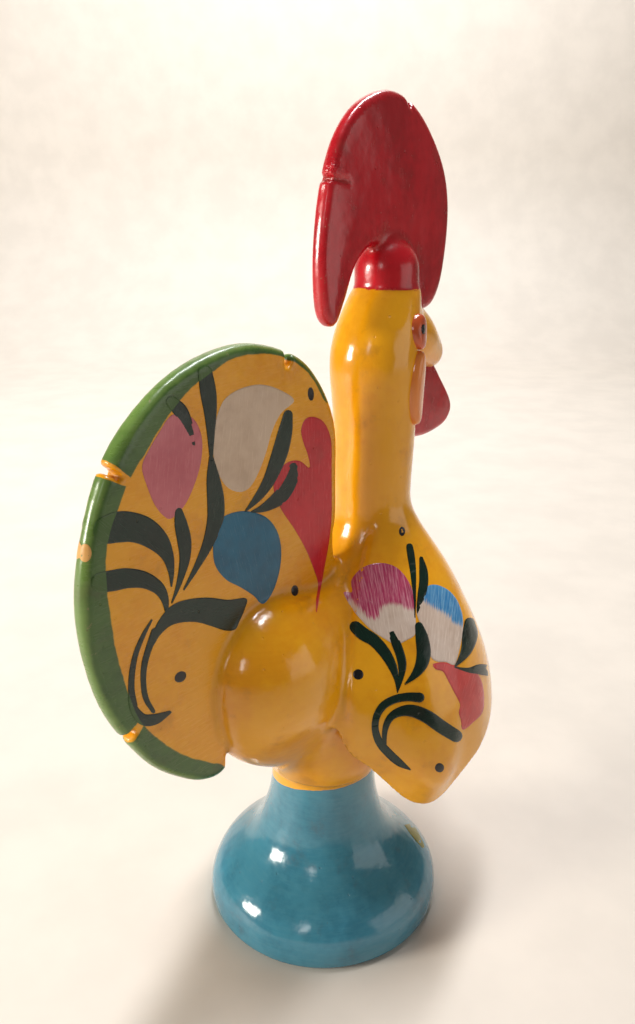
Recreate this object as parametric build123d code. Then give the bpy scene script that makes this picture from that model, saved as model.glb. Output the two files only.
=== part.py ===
from build123d import *
import os
from math import cos, radians, sin

os.makedirs("parts", exist_ok=True)

# A cockerel of painted fired clay. X points to the beak, Z up, and the origin is
# on the foot's turning axis, in the plane that the foot rests on. Millimetres.

# Foot: a thrown bell, hollow and open below
foot_radius = 42.5
foot_height = 57.0
foot_neck_radius = 19.0
foot_wall = 5.5
foot_hollow_height = 44.0
foot_hollow_top_radius = 11.0

# Shares of the radius between neck and rim, and of the height
foot_profile_shares = [
    (1.0, 0.0), (1.01, 0.14), (0.83, 0.28), (0.44, 0.42),
    (0.18, 0.57), (0.06, 0.72), (0.0, 1.0),
]

# Body: a hollow egg, the rump, over a round belly that sits on the foot
rump_x = -15.0
rump_z = 96.0
rump_half_length = 30.0
rump_half_width = 18.5
rump_half_height = 30.0
rump_slice_angles = [-86, -74, -58, -38, -14, 14, 38, 58, 74, 86]
belly_swell = 3.5
belly_height = 44.0
clay_wall = 4.5

# Shares of the belly's swell and of its height; the swell is cut back at the top
belly_side_shares = [(0.7, 0.15), (1.0, 0.33), (0.6, 0.56)]
belly_top_share = 0.85

# Breast and neck: one hollow thrown bottle with a closed, rounded head
neck_x = 27.5
neck_radius = 14.0
neck_foot_z = 146.0
head_radius = 14.9
head_z = 203.0
head_top_x = 33.5
head_top_z = 223.0
head_top_radius = 11.0
crown_share = 0.35
breast_z = 88.0
breast_half_depth = 42.0
breast_half_width = 28.0
breast_bottom_z = 60.0
breast_bottom_radius = 14.0

# Shares of the rise from breast to neck, and of the flare left there in depth and width
breast_flare_shares = [(0.20, 0.965, 0.985), (0.42, 0.80, 0.90), (0.62, 0.53, 0.62), (0.82, 0.20, 0.23)]

# Shares of the drop below the breast, and of the swell left there, from the bottom up
breast_under_shares = [(0.78, 0.55), (0.42, 0.90)]
neck_row_shares = [0.2, 0.45, 0.7]

# Wings: thick leaves that follow a bell about the neck's axis
wing_reach = 53.0
wing_thickness = 10.0
wing_tip_z = 52.0
wing_top_z = 145.0
bell_top_z = 148.0
bell_fullness = 2.5
bell_sweep = 1.42
wing_line_steps = 4

# Angle about the neck from the beak's way, and shares of the rim's height and reach there
wing_rim_shares = [
    (164, 0.40, 0.98), (151, 0.29, 1.0), (140, 0.20, 1.0), (130, 0.10, 1.0), (120, 0.0, 1.01),
    (112, 0.01, 1.02), (98, 0.12, 0.99), (80, 0.20, 0.96), (60, 0.25, 0.94), (42, 0.31, 0.90),
    (28, 0.38, 0.83), (14, 0.44, 0.74),
]

# Tail: an upright fan with three finger notches in its rim
tail_thickness = 6.0
tail_edge_round = 2.2
tail_radius = 62.5
tail_x = -37.5
tail_z = 149.5
tail_inner_x = -50.0
tail_inner_z = 102.0
tail_root_share = 0.45
notch_half_width = 1.3
notch_depth = 4.0

# Angle from the beak's way and share of the radius, round the fan's rim
tail_rim_shares = [
    (-12, 0.68), (14, 0.70), (37, 0.84), (55, 0.945), (70, 0.995), (92, 1.01), (120, 0.995),
    (149, 0.955), (180, 0.935), (205, 0.965), (230, 1.045), (246, 1.11),
]
tail_lobe_shares = [(255, 1.135), (259, 1.09)]
tail_notch_shares = [(71, 0.995), (141, 0.965), (219, 1.01)]

# Comb: a thick plate with a hanging rear lobe, on a rolled stem
comb_thickness = 8.0
comb_edge_round = 2.0
comb_length = 68.5
comb_height = 70.0
comb_back_x = -2.5
comb_low_z = 212.0
stem_x = 33.5
stem_radius = 10.5
stem_top_z = 239.0
stem_base_z = 219.0
comb_cut_half_width = 1.2
comb_cut_depth = 2.0

# Shares of the comb's length and height, round its outline
comb_outline_shares = [
    (0.474, 1.0), (0.671, 0.957), (0.842, 0.829), (0.961, 0.657), (1.0, 0.443), (0.968, 0.2),
    (0.90, 0.07), (0.81, 0.03), (0.70, 0.09), (0.45, 0.25), (0.32, 0.33), (0.235, 0.26),
    (0.16, 0.12), (0.09, 0.02), (0.025, 0.06), (0.0, 0.2), (0.0, 0.371), (0.04, 0.571),
    (0.118, 0.786), (0.263, 0.929),
]

# Shares that place the two nicks in its rim, and the angle at which each one points in
comb_nick_shares = [(0.61, 0.975, -65), (0.03, 0.635, -8)]

# Beak and wattle
beak_root_x = 38.0
beak_root_z = 210.5
beak_tip_x = 66.0
beak_tip_z = 194.5
beak_radius = 10.0
wattle_thickness = 6.0
wattle_edge_round = 2.2
wattle_root_x = 40.0
wattle_reach = 35.0
wattle_top_z = 199.0
wattle_drop = 31.0
beak_shares = [(1.0, 0.0), (0.96, 0.32), (0.70, 0.67), (0.36, 0.9)]
wattle_outline_shares = [
    (0.0, 0.0), (0.45, 0.0), (0.8, 0.38), (1.0, 0.68), (0.96, 0.87), (0.78, 0.97), (0.4, 1.0),
    (0.0, 0.85),
]

# Eyes and ear lobes, raised on the head's sides
eye_x = 33.0
eye_z = 209.5
eye_half_width = 4.6
eye_half_height = 5.8
eye_rise = 2.2
lobe_x = 32.5
lobe_z = 191.0
lobe_half_width = 5.0
lobe_half_height = 12.5
lobe_rise = 2.4
pad_root = 6.0
pad_edge_share = 0.8


def save(piece, name):
    """Write one node's solid under its name."""
    export_step(piece, f"parts/{name}.step")


def biggest(shape):
    """The main solid that is left when a piece is trimmed to its neighbours."""
    return max(shape.solids(), key=lambda solid: solid.volume)


def revolved(points, rest_of_outline):
    """A solid of revolution about Z from a smooth outer line closed by straight runs."""
    outline = Spline(*points) + Polyline(points[-1], *rest_of_outline, points[0])
    return revolve(Plane.XZ * make_face(outline), Axis.Z)


def foot_line(top_radius, rim_radius, height):
    """The foot's side line, from the rim at the bottom up to its neck."""
    return [
        (top_radius + radial * (rim_radius - top_radius), share * height)
        for radial, share in foot_profile_shares
    ]


def foot_outer():
    """The foot's whole outer form, flat on top where the body sits."""
    side = foot_line(foot_neck_radius, foot_radius, foot_height)
    return revolved(side, [(0, foot_height), (0, 0)])


def foot_hollow():
    """The open space below, a wall's thickness inside the outer form."""
    side = foot_line(foot_hollow_top_radius, foot_radius - foot_wall, foot_hollow_height)
    return revolved(side, [(0, foot_hollow_height), (0, 0)])


def rump_form(inset):
    """The rump's egg, smaller all round by inset, through round slices across X."""
    slices = []
    for angle in rump_slice_angles:
        place = Plane(
            origin=(rump_x + (rump_half_length - inset) * sin(radians(angle)), 0, rump_z),
            x_dir=(0, 1, 0),
            z_dir=(1, 0, 0),
        )
        size = cos(radians(angle))
        slices.append(place * Ellipse(
            (rump_half_width - inset) * size, (rump_half_height - inset) * size
        ))
    return loft(slices)


def belly_form(inset):
    """The round belly on the foot's neck, smaller all round by inset."""
    low = foot_height + inset
    top = foot_height + belly_height - inset
    side = [(foot_neck_radius - inset, low)]
    for swell_share, height_share in belly_side_shares:
        radius = foot_neck_radius + swell_share * belly_swell - inset
        side.append((radius, foot_height + height_share * belly_height))
    crown_radius = foot_neck_radius * (1 - belly_top_share)
    side.append((crown_radius, foot_height + belly_top_share * belly_height))
    side.append((0, top))
    return revolved(side, [(0, low)])


def body_form(inset):
    """Rump and belly in one, smaller all round by inset."""
    return rump_form(inset) + belly_form(inset)


def bottle_rows():
    """Centre, height and half axes of the breast, neck and head, from the bottom up."""
    breast_rise = neck_foot_z - breast_z
    breast_drop = breast_z - breast_bottom_z
    rows = [(neck_x, breast_bottom_z, breast_bottom_radius, breast_bottom_radius)]
    for drop_share, grow_share in breast_under_shares:
        rows.append((
            neck_x,
            breast_z - drop_share * breast_drop,
            breast_bottom_radius + grow_share * (breast_half_depth - breast_bottom_radius),
            breast_bottom_radius + grow_share * (breast_half_width - breast_bottom_radius),
        ))
    rows.append((neck_x, breast_z, breast_half_depth, breast_half_width))
    for rise_share, depth_share, width_share in breast_flare_shares:
        rows.append((
            neck_x,
            breast_z + rise_share * breast_rise,
            neck_radius + depth_share * (breast_half_depth - neck_radius),
            neck_radius + width_share * (breast_half_width - neck_radius),
        ))
    rows.append((neck_x, neck_foot_z, neck_radius, neck_radius))
    for rise_share in neck_row_shares:
        neck_z = neck_foot_z + rise_share * (head_z - neck_foot_z)
        neck_swell = rise_share ** 2 * (head_radius - neck_radius)
        rows.append((neck_x, neck_z, neck_radius + neck_swell, neck_radius + neck_swell))
    rows.append((neck_x, head_z, head_radius, head_radius))
    crown_x = neck_x + crown_share * (head_top_x - neck_x)
    crown_z = (head_z + head_top_z) / 2
    crown_radius = head_radius + crown_share * (head_top_radius - head_radius)
    rows.append((crown_x, crown_z, crown_radius, crown_radius))
    rows.append((head_top_x, head_top_z, head_top_radius, head_top_radius))
    return rows


def bottle_form(inset):
    """Breast, neck and head as one smooth form, smaller all round by inset."""
    rows = bottle_rows()
    low = rows[0][1] + inset
    high = rows[-1][1] - inset
    faces = []
    for centre_x, height, half_depth, half_width in rows:
        place = Plane((centre_x, 0, min(max(height, low), high)))
        faces.append(place * Ellipse(half_depth - inset, half_width - inset))
    return loft(faces)


def bell_radius(height, root, reach, top):
    """A bell's radius at a height: reach at the wing's tip, root at the bell's top."""
    share = min(max((height - wing_tip_z) / (top - wing_tip_z), 0), 1)
    return root + (reach - root) * (1 - share ** bell_fullness) ** bell_sweep


def wing_section(angle, rim_share, reach_share):
    """The wing's slice in the upright plane at one angle about the neck, rim rounded."""
    rim = wing_tip_z + rim_share * (wing_top_z - wing_tip_z)
    low = rim + wing_thickness / 2
    reach = wing_reach * reach_share
    inner_root = neck_radius - wing_thickness
    inner_top = wing_top_z - wing_thickness
    outer = []
    inner = []
    for step in range(wing_line_steps + 1):
        outer_z = low + (wing_top_z - low) * step / wing_line_steps
        inner_z = low + (inner_top - low) * step / wing_line_steps
        outer.append((bell_radius(outer_z, neck_radius, reach, bell_top_z), outer_z))
        inner.append((
            bell_radius(inner_z, inner_root, reach - wing_thickness, bell_top_z - wing_thickness),
            inner_z,
        ))
    rim_middle = ((outer[0][0] + inner[0][0]) / 2, rim)
    outline = Spline(*outer) + Line(outer[-1], inner[-1]) + Spline(*inner)
    outline += ThreePointArc(outer[0], rim_middle, inner[0])
    turn = radians(angle)
    place = Plane(
        origin=(neck_x, 0, 0), x_dir=(cos(turn), -sin(turn), 0), z_dir=(-sin(turn), -cos(turn), 0)
    )
    return place * make_face(outline)


def wing_form():
    """The right wing, not yet trimmed to the body."""
    return loft([wing_section(*station) for station in wing_rim_shares])


def polar(angle, share):
    """A point of the tail fan's plane from an angle and a share of its radius."""
    turn = radians(angle)
    reach = share * tail_radius
    return (tail_x + reach * cos(turn), tail_z + reach * sin(turn))


def upright_plate(outline, thickness, edge_round):
    """A plate in the middle plane from its outline, with both rims rounded."""
    plate = extrude(Plane.XZ * make_face(outline), thickness / 2, both=True)
    rims = plate.faces().filter_by(Axis.Y).edges()
    return fillet(rims, edge_round)


def slot(x, z, angle, depth, half_width, thickness):
    """A round-ended slot across a plate, cut inwards along an angle from the rim."""
    turn = radians(angle)
    end = Pos(x + depth * cos(turn), 0, z + depth * sin(turn))
    bore = end * Rot(90, 0, 0) * Cylinder(half_width, thickness * 2)
    way = Pos(x, 0, z) * Rot(0, -angle, 0) * Box(depth * 2, thickness * 2, half_width * 2)
    return bore + way


def tail_form():
    """The fan with its three notches, not yet trimmed to the body."""
    rim = [polar(*place) for place in tail_rim_shares]
    lobe = [polar(*place) for place in tail_lobe_shares]
    inner_low = (tail_inner_x, lobe[-1][1])
    inner_high = (tail_inner_x, tail_inner_z)
    root_z = rump_z + rump_half_height * tail_root_share
    root_back = (rump_x - rump_half_length * tail_root_share, root_z)
    root_front = (rim[0][0], root_z)
    outline = Spline(*rim, lobe[0]) + ThreePointArc(lobe[0], lobe[1], inner_low)
    outline += Polyline(inner_low, inner_high, root_back, root_front, rim[0])
    plate = upright_plate(outline, tail_thickness, tail_edge_round)
    for angle, share in tail_notch_shares:
        x, z = polar(angle, share)
        plate -= slot(x, z, angle + 180, notch_depth, notch_half_width, tail_thickness)
    return plate


def comb_form():
    """The comb's plate with its two nicks, not yet trimmed to the stem."""
    points = [
        (comb_back_x + length_share * comb_length, comb_low_z + height_share * comb_height)
        for length_share, height_share in comb_outline_shares
    ]
    plate = upright_plate(Spline(*points, periodic=True), comb_thickness, comb_edge_round)
    for length_share, height_share, angle in comb_nick_shares:
        x = comb_back_x + length_share * comb_length
        z = comb_low_z + height_share * comb_height
        plate -= slot(x, z, angle, comb_cut_depth, comb_cut_half_width, comb_thickness)
    return plate


def stem_form():
    """The rolled plug under the comb, with a domed top inside the plate."""
    straight = stem_top_z - stem_radius - stem_base_z
    plug = Pos(stem_x, 0, stem_base_z + straight / 2) * Cylinder(stem_radius, straight)
    return plug + Pos(stem_x, 0, stem_top_z - stem_radius) * Sphere(stem_radius)


def beak_form():
    """The beak, turned about its own sloping axis."""
    length = ((beak_tip_x - beak_root_x) ** 2 + (beak_tip_z - beak_root_z) ** 2) ** 0.5
    side = [(beak_radius * radius, length * along) for radius, along in beak_shares]
    side.append((0, length))
    horn = revolved(side, [(0, 0)])
    place = Plane(
        origin=(beak_root_x, 0, beak_root_z),
        x_dir=(0, 1, 0),
        z_dir=(beak_tip_x - beak_root_x, 0, beak_tip_z - beak_root_z),
    )
    return place * horn


def wattle_form():
    """The drop below the beak."""
    points = [
        (wattle_root_x + reach_share * wattle_reach, wattle_top_z - drop_share * wattle_drop)
        for reach_share, drop_share in wattle_outline_shares
    ]
    return upright_plate(Spline(*points, periodic=True), wattle_thickness, wattle_edge_round)


def pad_form(x, z, half_width, half_height, rise):
    """A raised oval pad on the head's right side."""
    out_x = (x - neck_x) / head_radius
    out_y = -((1 - out_x ** 2) ** 0.5)
    place = Plane(origin=(neck_x, 0, z), x_dir=(-out_y, out_x, 0), z_dir=(out_x, out_y, 0))
    root = head_radius - pad_root
    pad = extrude(Pos(0, 0, root) * Ellipse(half_width, half_height), pad_root + rise)
    pad = fillet(pad.faces().sort_by(Axis.Z)[-1].edges(), rise * pad_edge_share)
    return place * pad


body_outer = body_form(0)
bottle_outer = bottle_form(0)
beak_outer = beak_form()
stem_outer = stem_form() - bottle_outer
tail_outer = tail_form()

foot = foot_outer() - foot_hollow() - body_outer - bottle_outer
body = body_outer - body_form(clay_wall) - bottle_outer
breast_and_neck = bottle_outer - bottle_form(clay_wall)
tail = tail_outer - body_outer - bottle_outer
right_wing = wing_form() - body_outer - bottle_outer - tail_outer
beak = beak_outer - bottle_outer
comb = comb_form() - stem_outer - bottle_outer - beak_outer
wattle = wattle_form() - bottle_outer - beak_outer
right_eye = pad_form(eye_x, eye_z, eye_half_width, eye_half_height, eye_rise) - bottle_outer
right_ear_lobe = pad_form(lobe_x, lobe_z, lobe_half_width, lobe_half_height, lobe_rise) - bottle_outer

save(biggest(foot), "foot")
save(biggest(body), "body")
save(biggest(breast_and_neck), "breast_and_neck")
save(biggest(tail), "tail")
save(biggest(stem_outer), "comb_stem")
save(biggest(comb), "comb")
save(biggest(beak), "beak")
save(biggest(wattle), "wattle")
for name, piece in (("wing", right_wing), ("eye", right_eye), ("ear_lobe", right_ear_lobe)):
    right_side = biggest(piece)
    save(right_side, f"right_{name}")
    save(mirror(right_side, Plane.XZ), f"left_{name}")
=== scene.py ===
"""The looks of a painted fired-clay cockerel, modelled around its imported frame.

Forms are worked out in millimetres, in the frame's own axes: X to the beak, Z up. Each
form is a field, negative inside the clay, so that pieces can be luted together with soft
joins as wet clay is. The joined skin is then cut into one shell for each piece. The paint
lies on it in two ways: whole coats follow distances kept on the skin's points, and each
motif is a thin raised layer that was laid with one pull or fill of the brush.
"""

import logging
import math
from dataclasses import dataclass, field
from enum import Enum
from typing import Callable, Optional, Sequence, Union

import bpy
import numpy as np
import openvdb
from mathutils import Matrix, Vector, geometry


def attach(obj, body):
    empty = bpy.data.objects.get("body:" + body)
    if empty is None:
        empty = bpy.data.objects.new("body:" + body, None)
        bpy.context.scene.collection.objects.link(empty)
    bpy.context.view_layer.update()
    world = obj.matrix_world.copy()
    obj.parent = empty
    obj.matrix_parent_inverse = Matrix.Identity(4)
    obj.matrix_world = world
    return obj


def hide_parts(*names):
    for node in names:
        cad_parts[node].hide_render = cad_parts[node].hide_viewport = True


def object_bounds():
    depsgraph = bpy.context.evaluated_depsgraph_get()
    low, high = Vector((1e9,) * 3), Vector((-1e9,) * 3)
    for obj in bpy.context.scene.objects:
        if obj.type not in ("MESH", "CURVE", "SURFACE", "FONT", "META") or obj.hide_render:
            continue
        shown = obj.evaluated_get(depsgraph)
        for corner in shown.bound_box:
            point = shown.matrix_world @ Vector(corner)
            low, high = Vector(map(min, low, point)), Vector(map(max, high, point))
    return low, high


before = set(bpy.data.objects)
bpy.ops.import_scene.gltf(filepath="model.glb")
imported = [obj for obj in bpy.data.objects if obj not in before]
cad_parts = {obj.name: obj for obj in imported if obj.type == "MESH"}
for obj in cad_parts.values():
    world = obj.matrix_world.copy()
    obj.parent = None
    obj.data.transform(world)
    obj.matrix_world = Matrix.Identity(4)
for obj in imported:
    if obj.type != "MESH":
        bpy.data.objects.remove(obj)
CAD_BOX = [list(corner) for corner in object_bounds()]

MM = 0.001
TINY = 1e-12
SMALL = 1e-9
log = logging.getLogger("cockerel")

Points = np.ndarray
Field = Callable[[Points], np.ndarray]
Object = bpy.types.Object
Material = bpy.types.Material
Tree = bpy.types.NodeTree
Socket = bpy.types.NodeSocket
Sockets = bpy.types.bpy_prop_collection
Value = Union[float, Sequence[float], Socket]


# Curves and distances

def smooth_min(first: np.ndarray, second: np.ndarray, blend: float) -> np.ndarray:
    """Join the values of two fields with a fillet; blend is its reach in millimetres."""
    overlap = np.maximum(blend - np.abs(first - second), 0) / blend
    return np.minimum(first, second) - overlap * overlap * blend / 4


def smooth_max(first: np.ndarray, second: np.ndarray, blend: float) -> np.ndarray:
    """Cut one field by another with a rounded edge; see smooth_min for the arguments."""
    return -smooth_min(-first, -second, blend)


def ramp(value: np.ndarray, low: float, high: float) -> np.ndarray:
    """Rise smoothly from 0 to 1 between two values."""
    share = np.clip((value - low) / (high - low), 0, 1)
    return share * share * (3 - 2 * share)


def spline_table(stops: Sequence[float], values: Sequence[float],
                 step: float) -> tuple[np.ndarray, np.ndarray]:
    """Run a natural cubic spline through values and sample it finely.

    Args:
        stops: Where the values stand, rising.
        values: The values there.
        step: The sampling distance.

    Returns:
        The sampled places and the values there.
    """
    x, y = np.array(stops, float), np.array(values, float)
    gap, count = np.diff(x), len(x)
    system, pull = np.eye(count), np.zeros(count)
    for i in range(1, count - 1):
        system[i, i - 1:i + 2] = gap[i - 1], 2 * (gap[i - 1] + gap[i]), gap[i]
        pull[i] = 6 * ((y[i + 1] - y[i]) / gap[i] - (y[i] - y[i - 1]) / gap[i - 1])
    bend = np.linalg.solve(system, pull)
    at = np.arange(x[0], x[-1] + step / 2, step)
    i = np.clip(np.searchsorted(x, at) - 1, 0, count - 2)
    left, right = x[i + 1] - at, at - x[i]
    curve = (bend[i] * left ** 3 + bend[i + 1] * right ** 3) / (6 * gap[i])
    curve += (y[i] / gap[i] - bend[i] * gap[i] / 6) * left
    curve += (y[i + 1] / gap[i] - bend[i + 1] * gap[i] / 6) * right
    return at, curve


class Line:
    """A smooth line through a few values, with its slope."""

    def __init__(self, stops: Sequence[float], values: Sequence[float], step: float = 0.1) -> None:
        """Take the places and values that the line passes through."""
        self.at, self.value = spline_table(stops, values, step)
        self.slope = np.gradient(self.value, self.at)

    def __call__(self, place: np.ndarray) -> np.ndarray:
        """The line's value at each place."""
        return np.interp(place, self.at, self.value)

    def tilt(self, place: np.ndarray) -> np.ndarray:
        """How much the line's slope shortens a sideways distance to it."""
        return 1 / np.sqrt(1 + np.interp(place, self.at, self.slope) ** 2)


def catmull_rom(before: Points, start: Points, end: Points, beyond: Points, per_span: int) -> Points:
    """Sample the spans of a Catmull-Rom curve.

    Args:
        before: The point before each span.
        start: Where each span starts.
        end: Where each span ends.
        beyond: The point after each span.
        per_span: How many points each span gets.

    Returns:
        The points, without the last span's end.
    """
    t = (np.arange(per_span) / per_span)[None, :, None]
    a, b, c, d = (q[:, None, :] for q in (before, start, end, beyond))
    twice = 2 * b + (c - a) * t + (2 * a - 5 * b + 4 * c - d) * t ** 2 + (3 * b - a - 3 * c + d) * t ** 3
    return (0.5 * twice).reshape(-1, start.shape[1])


def closed_curve(points: Sequence[tuple[float, float]], per_span: int = 6) -> np.ndarray:
    """Round a closed outline off with a Catmull-Rom curve; per_span points stand for each span."""
    p = np.array(points, float)
    return catmull_rom(np.roll(p, 1, 0), p, np.roll(p, -1, 0), np.roll(p, -2, 0), per_span)


def open_curve(points: Sequence[Sequence[float]], per_span: int = 8) -> np.ndarray:
    """Run a Catmull-Rom curve through points in a row.

    Args:
        points: The points, with any number of columns.
        per_span: How many points each span gets.

    Returns:
        The curve's points, with the last one.
    """
    p = np.array(points, float)
    run = np.concatenate([[2 * p[0] - p[1]], p, [2 * p[-1] - p[-2]]])
    curve = catmull_rom(run[:-3], run[1:-2], run[2:-1], run[3:], per_span)
    return np.concatenate([curve, p[-1:]])


def even_outline(outline: np.ndarray, step: float, fewest: int = 8) -> np.ndarray:
    """Space a closed outline's points evenly.

    Args:
        outline: The outline's corners, one row each.
        step: About how far apart the new points stand.
        fewest: How many points it gets at least.

    Returns:
        The new points.
    """
    ring = np.concatenate([outline, outline[:1]])
    run = np.concatenate([[0], np.cumsum(np.linalg.norm(np.diff(ring, axis=0), axis=1))])
    at = np.linspace(0, run[-1], max(int(run[-1] / step), fewest), endpoint=False)
    return np.stack([np.interp(at, run, ring[:, i]) for i in range(ring.shape[1])], 1)


def outline_distance(outline: np.ndarray, place: np.ndarray) -> np.ndarray:
    """The signed distance of flat points to a closed outline, negative inside.

    Args:
        outline: The outline's corners, one row each.
        place: The points, one row each.

    Returns:
        One distance for each point.
    """
    nearest = np.full(len(place), np.inf)
    inside = np.zeros(len(place), bool)
    for start, end in zip(outline, np.roll(outline, -1, 0)):
        run = end - start
        offset = place - start
        share = np.clip(offset @ run / max(run @ run, TINY), 0, 1)
        nearest = np.minimum(nearest, ((offset - share[:, None] * run) ** 2).sum(1))
        crosses = (start[1] > place[:, 1]) != (end[1] > place[:, 1])
        rise = run[1] if abs(run[1]) > TINY else TINY
        inside ^= crosses & (place[:, 0] < run[0] * (place[:, 1] - start[1]) / rise + start[0])
    return np.sqrt(nearest) * np.where(inside, -1, 1)


def cubic_weights(t: np.ndarray) -> tuple[np.ndarray, ...]:
    """The weights of four samples in a row for a place between the middle two."""
    return (((2 - t) * t - 1) * t / 2, ((3 * t - 5) * t * t + 2) / 2, ((4 - 3 * t) * t + 1) * t / 2,
            (t - 1) * t * t / 2)


@dataclass
class OutlineMap:
    """The signed distance to a closed outline, worked out once on a flat grid and read smoothly."""

    outline: np.ndarray
    step: float = 0.8
    margin: float = 12.0

    def __post_init__(self) -> None:
        """Fill the grid."""
        self.low = self.outline.min(0) - self.margin
        high = self.outline.max(0) + self.margin
        axes = [np.arange(start, end + self.step, self.step) for start, end in zip(self.low, high)]
        flat = np.stack(np.meshgrid(*axes, indexing="ij"), -1)
        self.values = outline_distance(self.outline, flat.reshape(-1, 2)).reshape(flat.shape[:2])

    def __call__(self, place: np.ndarray) -> np.ndarray:
        """Read the distance to the outline.

        Args:
            place: Flat points, one row each.

        Returns:
            One distance for each point, negative inside the outline.
        """
        last = np.array(self.values.shape) - 3
        steps = (place - self.low) / self.step
        held = np.clip(steps, 1, last)
        start = np.minimum(held.astype(int), last - 1)
        across, over = (cubic_weights(held[:, i] - start[:, i]) for i in range(2))
        flat = self.values.ravel()
        corner = (start[:, 0] - 1) * self.values.shape[1] + start[:, 1] - 1
        total = np.zeros(len(place))
        for i in range(4):
            for j in range(4):
                total += across[i] * over[j] * flat[corner + i * self.values.shape[1] + j]
        return total + np.hypot(*(steps - held).T) * self.step


def slit_distance(place: np.ndarray, mouth: Sequence[float], inward: np.ndarray, depth: float) -> np.ndarray:
    """How far flat points lie from a straight cut that starts at a rim.

    Args:
        place: The points, one row each.
        mouth: Where the cut starts.
        inward: The cut's way, a unit vector.
        depth: How far it runs.

    Returns:
        One distance for each point.
    """
    offset = place - np.array(mouth)
    along = np.clip(offset @ inward, -depth, depth)
    return np.hypot(*(offset - along[:, None] * inward).T)


def oval_distance(place: np.ndarray, half_axes: Sequence[np.ndarray]) -> np.ndarray:
    """Estimate the distance to an oval or egg about the origin.

    Args:
        place: The points, one row each.
        half_axes: The half axis along each column, one value or one for each point.

    Returns:
        One distance for each point, negative inside.
    """
    scaled = sum((place[:, i] / half_axes[i]) ** 2 for i in range(len(half_axes)))
    steep = sum((place[:, i] / half_axes[i] ** 2) ** 2 for i in range(len(half_axes)))
    reach = np.sqrt(scaled)
    return reach * (reach - 1) / np.maximum(np.sqrt(steep), SMALL)


def plate_distance(flat: np.ndarray, beside: np.ndarray, half: np.ndarray, edge: float) -> np.ndarray:
    """The distance to a plate with a rounded rim.

    Args:
        flat: Signed distance to the plate's outline, in its own plane.
        beside: Distance from the plate's middle plane.
        half: Half the plate's thickness.
        edge: The rim's rounding.

    Returns:
        One distance for each point.
    """
    out, over = flat + edge, beside - half + edge
    corner = np.hypot(np.maximum(out, 0), np.maximum(over, 0))
    return corner + np.minimum(np.maximum(out, over), 0) - edge


def swollen_half(flat: np.ndarray, rim: float, middle: float, reach: float) -> np.ndarray:
    """Half the thickness of a plate that swells from its rim to its middle."""
    return (rim + (middle - rim) * (1 - np.exp(-np.maximum(-flat, 0) / reach))) / 2


def placed(name: str, data: bpy.types.ID) -> Object:
    """Put a new object in the scene.

    Args:
        name: The object's name.
        data: Its camera, lamp or mesh.

    Returns:
        The object.
    """
    thing = bpy.data.objects.new(name, data)
    bpy.context.scene.collection.objects.link(thing)
    return thing


# The photograph's view

@dataclass(frozen=True)
class Viewpoint:
    """The camera of the photograph, worked out from the object's own outlines."""

    width_px: int = 635
    height_px: int = 1024
    focal_px: float = 850.0
    sensor_mm: float = 36.0
    place: tuple = (-202.9, -170.3, 247.8)
    azimuth: float = -50.0
    pitch: float = 19.71
    yaw: float = 0.35
    roll: float = -0.19
    clip: tuple = (0.01, 20.0)

    def axes(self) -> np.ndarray:
        """Work out how the camera stands.

        Returns:
            Its right, up and forward ways, one row each.
        """
        pitch, yaw, roll = (math.radians(a) for a in (self.pitch, self.yaw, self.roll))
        forward = np.array([
            -math.sin(yaw) * math.cos(pitch), math.cos(yaw) * math.cos(pitch), -math.sin(pitch)])
        level = np.array([math.cos(yaw), math.sin(yaw), 0.0])
        high = np.cross(level, forward)
        right = level * math.cos(roll) + high * math.sin(roll)
        up = high * math.cos(roll) - level * math.sin(roll)
        turn = np.array(Matrix.Rotation(math.radians(self.azimuth), 3, "Z"))
        return np.stack([turn @ right, turn @ up, turn @ forward])

    def rays(self, pixels: np.ndarray) -> Points:
        """Find the way from the camera through each pixel.

        Args:
            pixels: The pixels, one row each.

        Returns:
            One unit vector for each pixel.
        """
        right, up, forward = self.axes()
        across = (pixels[:, :1] - self.width_px / 2) / self.focal_px
        over = (self.height_px / 2 - pixels[:, 1:]) / self.focal_px
        ways = forward + across * right + over * up
        return ways / np.linalg.norm(ways, axis=1)[:, None]

    def on_plate(self, pixels: Sequence[tuple[float, float]], y: float) -> np.ndarray:
        """Find where pixels fall on an upright plate that faces along y.

        Args:
            pixels: The pixels.
            y: Where the plate's face stands.

        Returns:
            The x and z of each pixel.
        """
        rays = self.rays(np.array(pixels, float))
        hits = np.array(self.place) + rays * ((y - self.place[1]) / rays[:, 1])[:, None]
        return hits[:, [0, 2]]

    def build(self) -> None:
        """Make the camera and look through it."""
        data = bpy.data.cameras.new("camera")
        data.sensor_width = self.sensor_mm
        data.lens = self.focal_px * self.sensor_mm / self.height_px
        data.clip_start, data.clip_end = self.clip
        camera = placed("camera", data)
        right, up, forward = self.axes()
        pose = Matrix(np.stack([right, up, -forward], 1).tolist()).to_4x4()
        pose.translation = Vector(self.place) * MM
        camera.matrix_world = pose
        bpy.context.scene.camera = camera


# Forms of the clay pieces

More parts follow.
